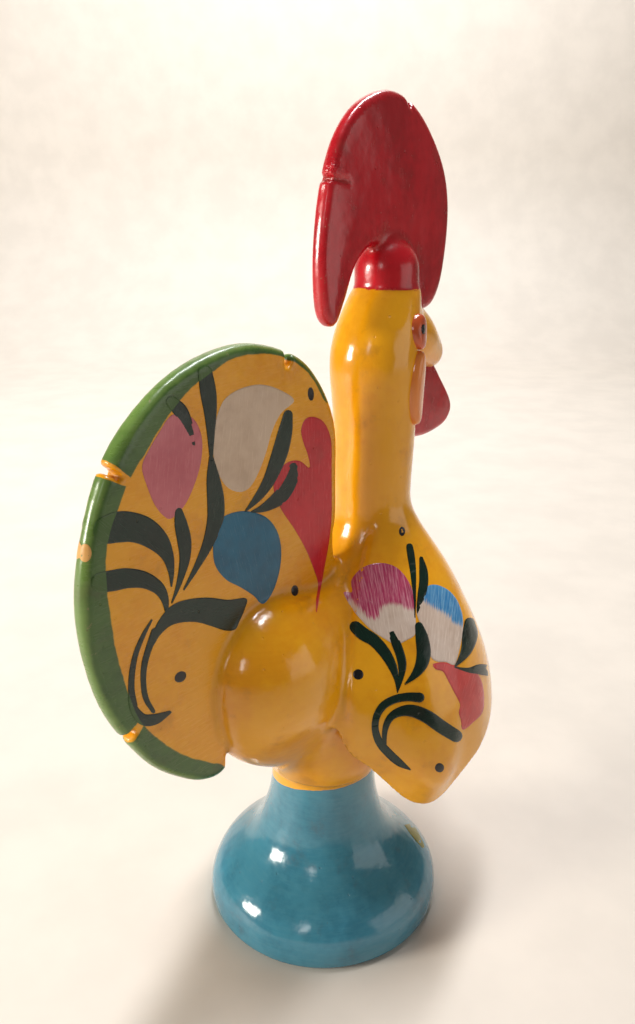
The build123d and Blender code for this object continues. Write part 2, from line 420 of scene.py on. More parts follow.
@dataclass
class Foot:
    """The thrown bell of the foot, hollow and open below."""

    node: str = "foot"
    rim_radius: float = 42.4
    neck_radius: float = 19.0
    height: float = 57.0
    wall: float = 5.5
    hollow_height: float = 44.0
    hollow_top_radius: float = 11.0
    foot_ring_round: float = 2.5
    top_round: float = 1.0
    bare_depth: float = 3.0
    paint_line_z: float = 53.6
    paint_line_tilt: tuple = (-1.2, -3.5)
    profile_shares: tuple = (
        (1.0, 0.0), (1.01, 0.14), (0.83, 0.28), (0.44, 0.42), (0.18, 0.57), (0.06, 0.72), (0.0, 1.0),
    )

    def __post_init__(self) -> None:
        """Work out the outer and inner side lines."""
        self.outer = self.side_line(self.neck_radius, self.rim_radius, self.height)
        self.inner = self.side_line(self.hollow_top_radius, self.rim_radius - self.wall, self.hollow_height)

    def side_line(self, top: float, rim: float, height: float) -> Line:
        """A side line from its radius at the top, its radius at the rim and its height."""
        radii = [top + radial * (rim - top) for radial, _ in self.profile_shares]
        return Line([share * height for _, share in self.profile_shares], radii)

    def side(self, p: Points) -> np.ndarray:
        """The distance outside the foot's outer side."""
        return (np.hypot(p[:, 0], p[:, 1]) - self.outer(p[:, 2])) * self.outer.tilt(p[:, 2])

    def distance(self, p: Points) -> np.ndarray:
        """The field of the foot; it runs a little way up inside the body.

        Args:
            p: The points.

        Returns:
            One value for each point.
        """
        radius, z = np.hypot(p[:, 0], p[:, 1]), p[:, 2]
        solid = smooth_max(self.side(p), -z, self.foot_ring_round)
        solid = smooth_max(solid, z - self.height - self.wall, self.top_round)
        hollow = (radius - self.inner(z)) * self.inner.tilt(z)
        hollow = smooth_max(hollow, z - self.hollow_height, self.wall)
        return smooth_max(solid, -hollow, self.foot_ring_round)

    def above_paint_line(self, p: Points) -> np.ndarray:
        """How far points lie above the line where the blue coat stops."""
        lean = (p[:, :2] @ np.array(self.paint_line_tilt)) / self.neck_radius
        return p[:, 2] - self.paint_line_z - lean

    def bare(self, p: Points) -> np.ndarray:
        """How far points lie past the edge of the paint, inside the hollow."""
        return -self.side(p) - self.bare_depth


@dataclass
class Body:
    """The rump's ball behind a long egg, over a round belly that sits on the foot."""

    node: str = "body"
    rump_centre: tuple = (-29.6, 0.0, 106.4)
    rump_half_axes: tuple = (24.2, 22.5, 26.5)
    egg_centre: tuple = (3.6, 0.0, 95.5)
    egg_half_axes: tuple = (49.9, 21.5, 33.8)
    rump_blend: float = 10.0
    belly_base: float = 58.6
    belly_line: tuple = ((52, 17.0), (57, 19.6), (63, 21.8), (71, 22.6), (81, 21.5), (92, 16.5), (101, 6.0))
    swell_blend: float = 8.0
    base_round: float = 2.0
    crown_round: float = 6.0

    def __post_init__(self) -> None:
        """Work out the belly's side line."""
        self.belly = Line(*zip(*self.belly_line))

    def distance(self, p: Points) -> np.ndarray:
        """The field of rump, egg and belly together.

        Args:
            p: The points.

        Returns:
            One value for each point.
        """
        rump = oval_distance(p - np.array(self.rump_centre), self.rump_half_axes)
        egg = oval_distance(p - np.array(self.egg_centre), self.egg_half_axes)
        rump = smooth_min(rump, egg, self.rump_blend)
        z = p[:, 2]
        side = (np.hypot(p[:, 0], p[:, 1]) - self.belly(z)) * self.belly.tilt(z)
        belly = smooth_max(side, self.belly_base - z, self.base_round)
        belly = smooth_max(belly, z - self.belly_line[-1][0], self.crown_round)
        return smooth_min(rump, belly, self.swell_blend)


@dataclass
class Bottle:
    """Breast, neck and head: one thrown bottle that leans forward at the crown."""

    node: str = "breast_and_neck"
    neck_x: float = 27.5
    head_radius: float = 14.9
    base: float = 60.0
    top: float = 223.0
    base_round: float = 10.0
    crown_round: float = 3.0
    rows: tuple = (
        (60, 27.5, 14, 14), (66.2, 27.5, 29.4, 21.7), (76.2, 27.5, 39.2, 26.6), (88, 27.5, 42, 28),
        (99.6, 27.5, 41, 27.8), (112.4, 27.5, 36.4, 26.6), (124, 27.5, 28.8, 22.7), (135.6, 27.5, 19.6, 17.2),
        (146, 27.5, 14.3, 14.1), (157.4, 27.5, 14, 14), (171.7, 27.5, 14.1, 14.1), (186, 27.5, 14.4, 14.4),
        (203, 27.5, 14.9, 14.9), (213, 29.6, 13.6, 13.6), (223, 33.5, 11, 11),
    )

    def __post_init__(self) -> None:
        """Work out the lines of the centre and of both half widths."""
        heights, centre, deep, wide = zip(*self.rows)
        self.centre, self.deep, self.wide = (Line(heights, line) for line in (centre, deep, wide))

    def distance(self, p: Points) -> np.ndarray:
        """The field of the bottle.

        Args:
            p: The points.

        Returns:
            One value for each point.
        """
        z = p[:, 2]
        flat = np.stack([p[:, 0] - self.centre(z), p[:, 1]], 1)
        side = oval_distance(flat, (self.deep(z), self.wide(z))) * self.deep.tilt(z)
        return smooth_max(smooth_max(side, self.base - z, self.base_round), z - self.top, self.crown_round)


@dataclass
class Wing:
    """A thick leaf of clay that follows a bell about the neck, on the right or the left.

    Its rim is pared with a slanting cut, which is deepest at the back.
    """

    node: str = "right_wing"
    side: int = -1
    neck_x: float = 27.5
    root_radius: float = 10.0
    reach: float = 53.0
    thickness: float = 11.0
    tip_z: float = 51.0
    top_z: float = 150.0
    bell_top: float = 152.0
    fullness: float = 2.6
    sweep: float = 1.35
    rim_round: float = 3.0
    inner_round: float = 1.0
    end_round: float = 14.0
    pared_height: float = 17.0
    pared_depth: float = 9.0
    pared_front_share: float = 0.2
    pared_from: tuple = (88.0, 122.0)
    ridge_round: float = 3.0
    top_line: tuple = ((8, 150), (120, 150), (140, 146), (152, 138), (166, 132))
    top_round: float = 9.0
    rim_shares: tuple = (
        (8, 0.522, 0.70), (14, 0.427, 0.74), (28, 0.36, 0.83), (42, 0.294, 0.90), (60, 0.237, 0.94),
        (80, 0.19, 0.96), (98, 0.114, 0.99), (108, 0.028, 1.01), (117, 0.0, 1.02), (131, 0.07, 1.02),
        (140, 0.155, 1.06), (147, 0.215, 1.11), (152, 0.26, 1.17), (158, 0.36, 1.27), (166, 0.52, 1.37),
    )
    chip_px: tuple = (438.5, 806.0)
    chip_half: tuple = (3.1, 5.6)
    chip_depth: float = 0.55
    height_step: float = 0.5
    angle_step: float = 2.0

    def __post_init__(self) -> None:
        """Work out the rim's height and reach by the angle about the neck."""
        angles, rims, reaches = zip(*self.rim_shares)
        self.rim_share, self.reach_share = Line(angles, rims), Line(angles, reaches)
        self.top = Line(*zip(*self.top_line))

    def bell_radius(self, height: np.ndarray, reach: np.ndarray) -> np.ndarray:
        """The bell's radius at a height, from its reach at the tip to its root at the top."""
        share = np.clip((height - self.tip_z) / (self.bell_top - self.tip_z), 0, 1)
        return self.root_radius + (reach - self.root_radius) * (1 - share ** self.fullness) ** self.sweep

    def distance(self, p: Points) -> np.ndarray:
        """The field of the wing.

        Args:
            p: The points.

        Returns:
            One value for each point.
        """
        x, y, z = p[:, 0] - self.neck_x, p[:, 1] * self.side, p[:, 2]
        radius = np.hypot(x, y)
        angle = np.degrees(np.arctan2(y, x))
        reach = self.reach * self.reach_share(angle)
        bell = self.bell_radius(z, reach)
        slope = (self.bell_radius(z + self.height_step, reach) - bell) / self.height_step
        outer = (radius - bell) / np.sqrt(1 + slope ** 2)
        shell = smooth_max(outer, -outer - self.thickness, self.inner_round)
        rim_z = self.tip_z + self.rim_share(angle) * (self.top_z - self.tip_z)
        rise = self.tip_z + self.rim_share(angle + self.angle_step) * (self.top_z - self.tip_z) - rim_z
        run = np.maximum(radius, self.root_radius) * math.radians(self.angle_step)
        rim = (rim_z - z) / np.sqrt(1 + (rise / run) ** 2)
        depth = self.pared_depth * (
            self.pared_front_share + (1 - self.pared_front_share) * ramp(angle, *self.pared_from))
        pared = self.pared_height * outer + depth * rim + self.pared_height * depth
        pared = pared / np.hypot(self.pared_height, depth)
        ends = np.maximum(self.rim_shares[0][0] - angle, angle - self.rim_shares[-1][0])
        ends = np.radians(ends) * np.maximum(radius, self.root_radius)
        cut = smooth_max(smooth_max(shell, pared, self.ridge_round), rim, self.rim_round)
        return smooth_max(smooth_max(cut, ends, self.end_round), z - self.top(angle), self.top_round)


@dataclass
class Tail:
    """The upright fan, a flat slab with finger notches pressed into its rim."""

    node: str = "tail"
    radius: float = 62.3
    centre_x: float = -37.5
    centre_z: float = 149.5
    thickness: float = 6.0
    edge_round: float = 2.7
    inner_x: float = -50.0
    inner_z: float = 102.0
    inner_rise: float = 3.0
    root: tuple = ((-40.0, 108.0), (-20.0, 100.0), (8.0, 100.0))
    rim_shares: tuple = (
        (-12, 0.68), (0, 0.675), (14, 0.70), (37, 0.84), (55, 0.945), (70, 0.995), (92, 1.01), (120, 0.995),
        (149, 0.955), (180, 0.935), (205, 0.965), (230, 1.045), (246, 1.11), (254, 1.135), (258.5, 1.115),
    )
    notch_shares: tuple = ((71, 0.995), (141, 0.965), (219, 1.01))
    notch_depth: float = 3.2
    notch_half_width: float = 1.3
    notch_round: float = 1.2
    yellow_notches: tuple = (1, 2)
    yellow_notch_run: float = 11.0
    yellow_notch_half_width: float = 2.1
    yellow_notch_taper: float = 0.75
    far_inside: float = -9.0
    band_per_span: int = 4
    band_edge_px: tuple = (
        (217, 368), (232, 359), (250, 354.5), (268, 354.5), (286, 358), (301, 366), (312, 377), (319, 390),
        (327, 404), (345, 412), (345, 600), (300, 640), (240, 700), (240, 770), (220, 763.5), (208, 762),
        (184, 755), (160, 740.5), (139, 719), (127, 686), (118, 656), (110.5, 620), (106.6, 590), (106, 560),
        (110.5, 530), (121, 500), (130, 476), (148, 447), (170, 413.5), (192, 387.5),
    )

    def __post_init__(self) -> None:
        """Draw the fan's outline and the inner edge of its green band."""
        rim = [self.polar(*place) for place in self.rim_shares]
        low_z = rim[-1][1] + self.inner_rise
        back = [(self.inner_x, z) for z in (low_z, (low_z + self.inner_z) / 2, self.inner_z)]
        self.outline = closed_curve([*rim, *back, *self.root])
        self.notches = []
        for angle, share in self.notch_shares:
            turn = math.radians(angle)
            inward = np.array([-math.cos(turn), -math.sin(turn)])
            self.notches.append((self.polar(angle, share), inward))
        self.shape = OutlineMap(self.outline)
        band = Viewpoint().on_plate(self.band_edge_px, -self.thickness / 2)
        self.band = OutlineMap(closed_curve(band, self.band_per_span))

    def polar(self, angle: float, share: float) -> tuple[float, float]:
        """A place in the fan's plane from an angle and a share of its radius."""
        turn, reach = math.radians(angle), share * self.radius
        return self.centre_x + reach * math.cos(turn), self.centre_z + reach * math.sin(turn)

    def distance(self, p: Points) -> np.ndarray:
        """The field of the fan.

        Args:
            p: The points.

        Returns:
            One value for each point.
        """
        flat = p[:, [0, 2]]
        plate = plate_distance(self.shape(flat), np.abs(p[:, 1]), self.thickness / 2, self.edge_round)
        for mouth, inward in self.notches:
            slit = slit_distance(flat, mouth, inward, self.notch_depth) - self.notch_half_width
            plate = smooth_max(plate, -slit, self.notch_round)
        return plate

    def zones(self, p: Points) -> dict[str, np.ndarray]:
        """The distances that the fan's coats of paint follow.

        Args:
            p: Points on the fan.

        Returns:
            How far each point lies past the band's inner edge, in from the fan's own edge,
            and inside the yellow cuts.
        """
        flat = p[:, [0, 2]]
        cuts = np.full(len(p), self.far_inside)
        for index in self.yellow_notches:
            mouth, inward = self.notches[index]
            along = np.clip((flat - np.array(mouth)) @ inward / self.yellow_notch_run, 0, 1)
            half = self.yellow_notch_half_width * (1 - self.yellow_notch_taper * along)
            cuts = np.maximum(cuts, half - slit_distance(flat, mouth, inward, self.yellow_notch_run))
        return {"band": self.band(flat), "inset": -self.shape(flat), "cut": cuts}


@dataclass
class CombStem:
    """The rolled plug that carries the comb."""

    node: str = "comb_stem"
    x: float = 33.5
    radius: float = 10.5
    top: float = 239.0
    base: float = 219.0
    base_round: float = 1.0

    def distance(self, p: Points) -> np.ndarray:
        """The field of the plug with its domed top.

        Args:
            p: The points.

        Returns:
            One value for each point.
        """
        ball = np.clip(p[:, 2], self.base, self.top - self.radius)
        away = np.stack([p[:, 0] - self.x, p[:, 1], p[:, 2] - ball], 1)
        return smooth_max(np.linalg.norm(away, axis=1) - self.radius, self.base - p[:, 2], self.base_round)


@dataclass
class Comb:
    """The comb's plate: thick in the middle, with a rolled rim and a hanging rear lobe."""

    node: str = "comb"
    back_x: float = -2.5
    low_z: float = 212.0
    length: float = 68.5
    height: float = 69.8
    rim_thickness: float = 5.6
    middle_thickness: float = 8.0
    swell_reach: float = 9.0
    edge_round: float = 2.5
    nick_half_width: float = 0.9
    nick_depth: float = 2.4
    nick_round: float = 1.0
    crease_length: float = 9.5
    crease_depth: float = 0.7
    crumple_reach: float = 7.5
    outline_shares: tuple = (
        (0.474, 1.0), (0.671, 0.957), (0.842, 0.829), (0.961, 0.657), (1.0, 0.443), (0.968, 0.2),
        (0.90, 0.07), (0.81, 0.03), (0.73, 0.06), (0.69, 0.20), (0.60, 0.31), (0.46, 0.345),
        (0.33, 0.335), (0.235, 0.26), (0.16, 0.12), (0.09, 0.02), (0.025, 0.06), (0.0, 0.2),
        (0.0, 0.371), (0.04, 0.571), (0.118, 0.786), (0.263, 0.929),
    )
    nick_shares: tuple = ((0.61, 0.980, -65), (0.022, 0.635, -8))
    creased_nick: int = 1

    def __post_init__(self) -> None:
        """Draw the comb's outline and place its nicks."""
        self.outline = closed_curve([self.place(*share) for share in self.outline_shares])
        self.shape = OutlineMap(self.outline)
        self.nicks = []
        for length_share, height_share, angle in self.nick_shares:
            turn = math.radians(angle)
            inward = np.array([math.cos(turn), math.sin(turn)])
            self.nicks.append((self.place(length_share, height_share), inward))

    def place(self, length_share: float, height_share: float) -> tuple[float, float]:
        """A place in the comb's plane from shares of its length and height."""
        return self.back_x + length_share * self.length, self.low_z + height_share * self.height

    def distance(self, p: Points) -> np.ndarray:
        """The field of the comb.

        Args:
            p: The points.

        Returns:
            One value for each point.
        """
        flat = p[:, [0, 2]]
        edge = self.shape(flat)
        half = swollen_half(edge, self.rim_thickness, self.middle_thickness, self.swell_reach)
        plate = plate_distance(edge, np.abs(p[:, 1]), half, self.edge_round)
        for mouth, inward in self.nicks:
            slit = slit_distance(flat, mouth, inward, self.nick_depth) - self.nick_half_width
            plate = smooth_max(plate, -slit, self.nick_round)
        mouth, inward = self.nicks[self.creased_nick]
        crease = slit_distance(flat, mouth, inward, self.crease_length)
        return plate + self.crease_depth * np.exp(-(crease / self.nick_half_width) ** 2)

    def crumple(self, p: Points) -> np.ndarray:
        """How strongly the clay is crumpled round the rear nick, from 0 to 1.

        Args:
            p: The points.

        Returns:
            One value for each point.
        """
        mouth, inward = self.nicks[self.creased_nick]
        middle = np.array(mouth) + inward * self.crumple_reach / 3 + np.array([0.0, self.crumple_reach / 3])
        return np.exp(-((p[:, [0, 2]] - middle) ** 2).sum(1) / (self.crumple_reach / 2) ** 2)


@dataclass
class Beak:
    """The blunt horn of the beak, on its own sloping axis."""

    node: str = "beak"
    root: tuple = (38.0, 0.0, 210.5)
    tip: tuple = (66.0, 0.0, 194.5)
    radius: float = 10.0
    profile_shares: tuple = ((0.0, 1.0), (0.32, 0.96), (0.67, 0.70), (0.9, 0.36), (1.0, 0.02))
    least_tilt: float = 0.3

    def __post_init__(self) -> None:
        """Work out the axis and the side line."""
        axis = np.array(self.tip) - np.array(self.root)
        self.length = float(np.linalg.norm(axis))
        self.axis = axis / self.length
        along, across = zip(*self.profile_shares)
        self.side = Line([a * self.length for a in along], [self.radius * a for a in across])

    def distance(self, p: Points) -> np.ndarray:
        """The field of the beak.

        Args:
            p: The points.

        Returns:
            One value for each point.
        """
        offset = p - np.array(self.root)
        along = offset @ self.axis
        radius = np.linalg.norm(offset - along[:, None] * self.axis, axis=1)
        horn = (radius - self.side(along)) * np.maximum(self.side.tilt(along), self.least_tilt)
        return np.maximum(horn, np.maximum(-along, along - self.length))


@dataclass
class Wattle:
    """The flat drop below the beak, a little fuller in its middle."""

    node: str = "wattle"
    thickness: float = 5.9
    rim_thickness: float = 4.4
    swell_reach: float = 5.0
    edge_round: float = 2.1
    root_x: float = 40.0
    reach: float = 34.6
    top_z: float = 199.0
    drop: float = 31.0
    outline_shares: tuple = (
        (0.0, 0.0), (0.45, 0.0), (0.8, 0.38), (1.0, 0.68), (0.96, 0.87), (0.78, 0.97), (0.4, 1.0),
        (0.0, 0.85),
    )

    def __post_init__(self) -> None:
        """Draw the drop's outline."""
        self.outline = closed_curve([
            (self.root_x + reach * self.reach, self.top_z - drop * self.drop)
            for reach, drop in self.outline_shares
        ])
        self.shape = OutlineMap(self.outline)

    def distance(self, p: Points) -> np.ndarray:
        """The field of the drop.

        Args:
            p: The points.

        Returns:
            One value for each point.
        """
        edge = self.shape(p[:, [0, 2]])
        half = swollen_half(edge, self.rim_thickness, self.thickness, self.swell_reach)
        return plate_distance(edge, np.abs(p[:, 1]), half, self.edge_round)

    def box(self) -> tuple[np.ndarray, np.ndarray]:
        """The lowest and highest corner that the drop needs."""
        low, high = self.outline.min(0), self.outline.max(0)
        return np.array([low[0], -self.thickness, low[1]]), np.array([high[0], self.thickness, high[1]])


@dataclass
class Pad:
    """A pellet of clay pressed on the head's side: an eye or an ear lobe."""

    node: str
    side: int
    x: float
    z: float
    half_width: float
    half_height: float
    rise: float
    edge_round: float
    root: float = 2.5
    margin: float = 1.0
    head: Bottle = field(default_factory=Bottle)

    def __post_init__(self) -> None:
        """Work out which way the pad faces."""
        out_x = (self.x - self.head.neck_x) / self.head.head_radius
        self.out = np.array([out_x, math.sqrt(1 - out_x ** 2) * self.side, 0.0])
        self.across = np.array([-self.out[1], self.out[0], 0.0])
        self.middle = np.array([self.head.neck_x, 0.0, self.z])

    def distance(self, p: Points) -> np.ndarray:
        """The field of the pad, which follows the head's curve.

        Args:
            p: The points.

        Returns:
            One value for each point.
        """
        offset = p - self.middle
        flat = np.stack([offset @ self.across, offset[:, 2]], 1)
        oval = oval_distance(flat, (self.half_width, self.half_height))
        skin = self.head.distance(p) - self.rise
        pad = smooth_max(oval, skin, self.edge_round)
        return np.maximum(np.maximum(pad, -skin - self.rise - self.root), -offset @ self.out)

    def box(self) -> tuple[np.ndarray, np.ndarray]:
        """Find the box that the pad needs.

        Returns:
            Its lowest and highest corner.
        """
        centre = self.middle + self.out * self.head.head_radius
        reach = np.array([self.half_width + self.rise + self.root] * 2 + [self.half_height + self.margin])
        return centre - reach, centre + reach


@dataclass
class Clay:
    """All the pieces that are luted together, as one skin that is cut into shells."""

    foot: Foot = field(default_factory=Foot)
    body: Body = field(default_factory=Body)
    bottle: Bottle = field(default_factory=Bottle)
    right_wing: Wing = field(default_factory=Wing)
    left_wing: Wing = field(default_factory=lambda: Wing("left_wing", 1))
    tail: Tail = field(default_factory=Tail)
    stem: CombStem = field(default_factory=CombStem)
    comb: Comb = field(default_factory=Comb)
    beak: Beak = field(default_factory=Beak)
    view: Viewpoint = field(default_factory=Viewpoint)
    voxel: float = 1.2
    quick_voxel: float = 1.8
    wall: float = 2.2
    body_blend: float = 2.6
    wing_blend: float = 6.0
    tail_blend: float = 5.0
    foot_blend: float = 1.2
    stem_blend: float = 3.0
    crown_blend: float = 1.5
    beak_blend: float = 3.0
    unevenness: float = 0.14
    ripple_lengths: tuple = (23.0, 31.0, 44.0, 61.0)
    seed: int = 7
    edge_reach: float = 1.6
    edge_gain: float = 1.5
    crown_reach: float = 20.0
    chip_softness: float = 1.4

    def __post_init__(self) -> None:
        """Choose the ways in which the hand-worked skin ripples, and place the chip."""
        draw = np.random.default_rng(self.seed)
        way = draw.normal(size=(len(self.ripple_lengths), 3))
        way /= np.linalg.norm(way, axis=1)[:, None]
        self.ripples = way * (2 * math.pi / np.array(self.ripple_lengths))[:, None]
        self.ripple_phase = draw.uniform(0, 2 * math.pi, len(self.ripple_lengths))
        chip_px = np.array([self.right_wing.chip_px])
        self.chip_middle = trace(self.luted, self.view, chip_px)[0][0]

    @property
    def forms(self) -> list:
        """Each piece's form, in the order of their labels."""
        return [
            self.foot, self.body, self.bottle, self.right_wing, self.left_wing, self.tail, self.stem,
            self.comb, self.beak,
        ]

    def apart(self, p: Points) -> np.ndarray:
        """Each piece's own field, one row for each form."""
        return np.array([form.distance(p) for form in self.forms])

    def luted(self, p: Points) -> np.ndarray:
        """The field of the whole luted form, with its hand-worked ripple.

        Args:
            p: The points.

        Returns:
            One value for each point.
        """
        foot, body, bottle, right, left, tail, stem, comb, beak = self.apart(p)
        whole = smooth_min(np.minimum(right, left), tail, self.tail_blend)
        crown = smooth_min(stem, comb, self.stem_blend)
        for form, blend in ((bottle, self.wing_blend), (body, self.body_blend), (foot, self.foot_blend),
                            (beak, self.beak_blend), (crown, self.crown_blend)):
            whole = smooth_min(whole, form, blend)
        ripple = np.sin(p @ self.ripples.T + self.ripple_phase).sum(1)
        return whole + self.unevenness * ripple * np.clip(p[:, 2] / self.foot.wall, 0, 1)

    def in_chip(self, p: Points) -> np.ndarray:
        """How far points lie inside the place where the right wing's tip has lost its paint."""
        half_width, half_height = self.right_wing.chip_half
        return -oval_distance(p - self.chip_middle, (half_width, half_width, half_height))

    def joined(self, p: Points) -> np.ndarray:
        """The luted form's field with the chip taken out of it."""
        return self.luted(p) + self.right_wing.chip_depth * ramp(self.in_chip(p), 0.0, self.chip_softness)

    def zones(self, node: str, p: Points, apart: np.ndarray) -> dict[str, np.ndarray]:
        """The distances that one piece's coats of paint, its wear and its painted crease shade follow.

        Args:
            node: The piece's node.
            p: Its points.
            apart: Each form's own field at the points.

        Returns:
            The named distances, positive inside each zone.
        """
        _, _, bottle, _, _, _, stem, comb, beak = apart
        crown = (np.minimum(stem, comb) - np.minimum(bottle, beak)) / math.sqrt(2)
        crown = np.clip(crown, -self.crown_reach, self.crown_reach)
        found = {"edge": self.edge(p)}
        if node == self.foot.node:
            found["coat"] = -self.foot.above_paint_line(p)
            found["bare"] = self.foot.bare(p)
        elif node == self.body.node:
            found["coat"] = self.foot.above_paint_line(p)
        elif node in (self.bottle.node, self.beak.node):
            found["coat"] = crown
        elif node in (self.stem.node, self.comb.node):
            found["coat"] = -crown
            found["crumple"] = self.comb.crumple(p)
        elif node == self.tail.node:
            found.update(self.tail.zones(p))
        elif node == self.right_wing.node:
            found["bare"] = self.in_chip(p)
        return found

    def edge(self, p: Points) -> np.ndarray:
        """How sharply the skin bends at each point: positive on edges, negative in creases.

        Args:
            p: The points.

        Returns:
            One value for each point.
        """
        total = -4 * self.joined(p)
        for way in CORNER_WAYS:
            total = total + self.joined(p + self.edge_reach * way)
        return total * self.edge_gain / self.edge_reach ** 2

    def build(self) -> dict[str, Object]:
        """Mesh the skin, cut it by piece and give each piece its wall.

        Returns:
            The pieces by node name.
        """
        step = self.voxel
        low, high = np.array(CAD_BOX[0]) / MM, np.array(CAD_BOX[1]) / MM
        points, quads, normals = skin_of(self.joined, low, high, step)
        label = np.argmin(self.apart(points[quads].mean(1)), axis=0)
        apart = self.apart(points)
        pieces = {}
        for index, form in enumerate(self.forms):
            own = quads[label == index]
            used, inverse = np.unique(own, return_inverse=True)
            own = inverse.reshape(own.shape)
            zones = self.zones(form.node, points[used], apart[:, used])
            inner = points[used] - self.wall * normals[used]
            piece = closed_piece(f"{form.node}_enamelled", points[used], inner, own, normals[used], zones)
            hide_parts(form.node)
            pieces[form.node] = piece
            log.info("%s: %d faces", form.node, len(own))
        return pieces


# Meshes from fields

CORNER_WAYS = np.array([(1, 1, 1), (1, -1, -1), (-1, 1, -1), (-1, -1, 1)]) / math.sqrt(3)
RAY_START = 200.0
RAY_STEP_LIMITS = (-10.0, 40.0)
RAY_STEP_SHARE = 0.95
ON_SKIN = 0.25
NEAR_SHARE = 1.2
NEAR_MARGIN = 2.5
BLOCKS_AT_ONCE = 400
MARGIN_STEPS = 3


def slope_of(form: Field, p: Points, reach: float = 0.3) -> Points:
    """The field's slope at each point, which is the skin's outward way.

    The field is read at the four corners of a small tetrahedron about each point.

    Args:
        form: The field.
        p: The points.
        reach: How far out the corners stand.

    Returns:
        One unit vector for each point.
    """
    slope = sum(form(p + reach * way)[:, None] * way for way in CORNER_WAYS)
    return slope / np.maximum(np.linalg.norm(slope, axis=1)[:, None], SMALL)


def settle(form: Field, p: Points, limit: float, rounds: int = 2) -> Points:
    """Move points onto the skin.

    Args:
        form: The field.
        p: The points, near the skin.
        limit: The furthest that a point may move in one round.
        rounds: How often the points are moved.

    Returns:
        The moved points.
    """
    for _ in range(rounds):
        p = p - np.clip(form(p), -limit, limit)[:, None] * slope_of(form, p)
    return p


def trace(form: Field, view: Viewpoint, pixels: np.ndarray, rounds: int = 18) -> tuple[Points, np.ndarray]:
    """Find where the photograph's pixels fall on a skin.

    Args:
        form: The skin's field.
        view: The photograph's camera.
        pixels: The pixels, one row each.
        rounds: How many steps each ray may take.

    Returns:
        The points, and which of them lie on the skin.
    """
    rays = view.rays(pixels)
    start = np.array(view.place)
    far = np.full(len(pixels), RAY_START)
    for _ in range(rounds):
        away = form(start + far[:, None] * rays)
        far = far + np.clip(away, *RAY_STEP_LIMITS) * RAY_STEP_SHARE
    points = start + far[:, None] * rays
    return points, np.abs(form(points)) < ON_SKIN


def lattice(counts: Sequence[int]) -> np.ndarray:
    """The whole-number places of a grid with so many steps along each axis, one row each."""
    return np.stack(np.meshgrid(*(np.arange(count) for count in counts), indexing="ij"), -1).reshape(-1, 3)


def sampled(form: Field, low: Points, counts: np.ndarray, step: float, block: int) -> np.ndarray:
    """Read a field on a grid, closely only in the blocks that its zero may pass.

    Args:
        form: The field.
        low: The grid's lowest corner.
        counts: How many blocks stand along each axis.
        step: The spacing of the samples.
        block: How many samples a block has on each side.

    Returns:
        The samples.
    """
    places = lattice(counts)
    centres = low + (places * block + (block - 1) / 2) * step
    values = form(centres)
    near = np.abs(values) < NEAR_SHARE * block * step * math.sqrt(3) / 2 + NEAR_MARGIN
    blocks = np.repeat(values[:, None], block ** 3, 1).astype(np.float32)
    grid = lattice([block] * 3)
    for some in np.array_split(np.nonzero(near)[0], max(near.sum() // BLOCKS_AT_ONCE, 1)):
        corners = places[some] * block
        inside = low + (corners[:, None, :] + grid[None]) * step
        blocks[some] = form(inside.reshape(-1, 3)).reshape(len(some), -1)
    shaped = blocks.reshape(*counts, block, block, block).transpose(0, 3, 1, 4, 2, 5)
    return np.ascontiguousarray(shaped.reshape(counts * block))


def skin_of(form: Field, low: Points, high: Points, step: float,
            block: int = 6) -> tuple[Points, np.ndarray, Points]:
    """Run quads along a field's zero inside a box.

    Args:
        form: The field.
        low: The box's lowest corner.
        high: Its highest corner.
        step: The spacing of the samples.
        block: How many samples a block has on each side.

    Returns:
        The points, the quads between them and the outward ways.
    """
    low = low - MARGIN_STEPS * step
    counts = np.ceil((high + MARGIN_STEPS * step - low) / (block * step)).astype(int)
    samples = sampled(form, low, counts, step, block)
    grid = openvdb.FloatGrid(float(samples.max()))
    grid.copyFromArray(samples)
    points, quads = grid.convertToQuads(0.0)
    points = settle(form, np.array(points, float) * step + low, step)
    normals = slope_of(form, points)
    return points, facing_out(points, np.array(quads, int), normals), normals


def facing_out(points: Points, faces: np.ndarray, normals: Points) -> np.ndarray:
    """Turn all faces round if they face into the clay.

    Args:
        points: The faces' points.
        faces: The faces, one row each, which all run the same way round.
        normals: The outward way at each point.

    Returns:
        The faces, all turned or all as they were.
    """
    a, b, d = points[faces[:, 0]], points[faces[:, 1]], points[faces[:, -1]]
    inward = (np.cross(b - a, d - a) * normals[faces[:, 0]]).sum() < 0
    return faces[:, ::-1] if inward else faces


def rim_edges(faces: np.ndarray) -> np.ndarray:
    """Find the edges that only one face uses.

    Args:
        faces: The faces, one row each.

    Returns:
        The edges, in their face's own direction.
    """
    corners = faces.shape[1]
    edges = np.concatenate([faces[:, [i, (i + 1) % corners]] for i in range(corners)])
    _, first, count = np.unique(np.sort(edges, 1), axis=0, return_index=True, return_counts=True)
    return edges[first[count == 1]]


def mesh_piece(name: str, points: Points, faces: Sequence, normals: Points, zones: dict) -> Object:
    """Make a smooth piece that rides on the object, with the skin's own normals.

    Args:
        name: The piece's name.
        points: The points in millimetres.
        faces: The faces, as lists of point numbers.
        normals: One shading normal for each point.
        zones: The named distances to keep on the points.

    Returns:
        The new piece, in the scene.
    """
    mesh = bpy.data.meshes.new(name)
    mesh.from_pydata((points * MM).tolist(), [], faces)
    mesh.shade_smooth()
    mesh.normals_split_custom_set_from_vertices(normals.tolist())
    for zone, values in zones.items():
        layer = mesh.attributes.new(zone, "FLOAT", "POINT")
        layer.data.foreach_set("value", np.asarray(values, np.float32))
    piece = placed(name, mesh)
    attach(piece, "root")
    return piece


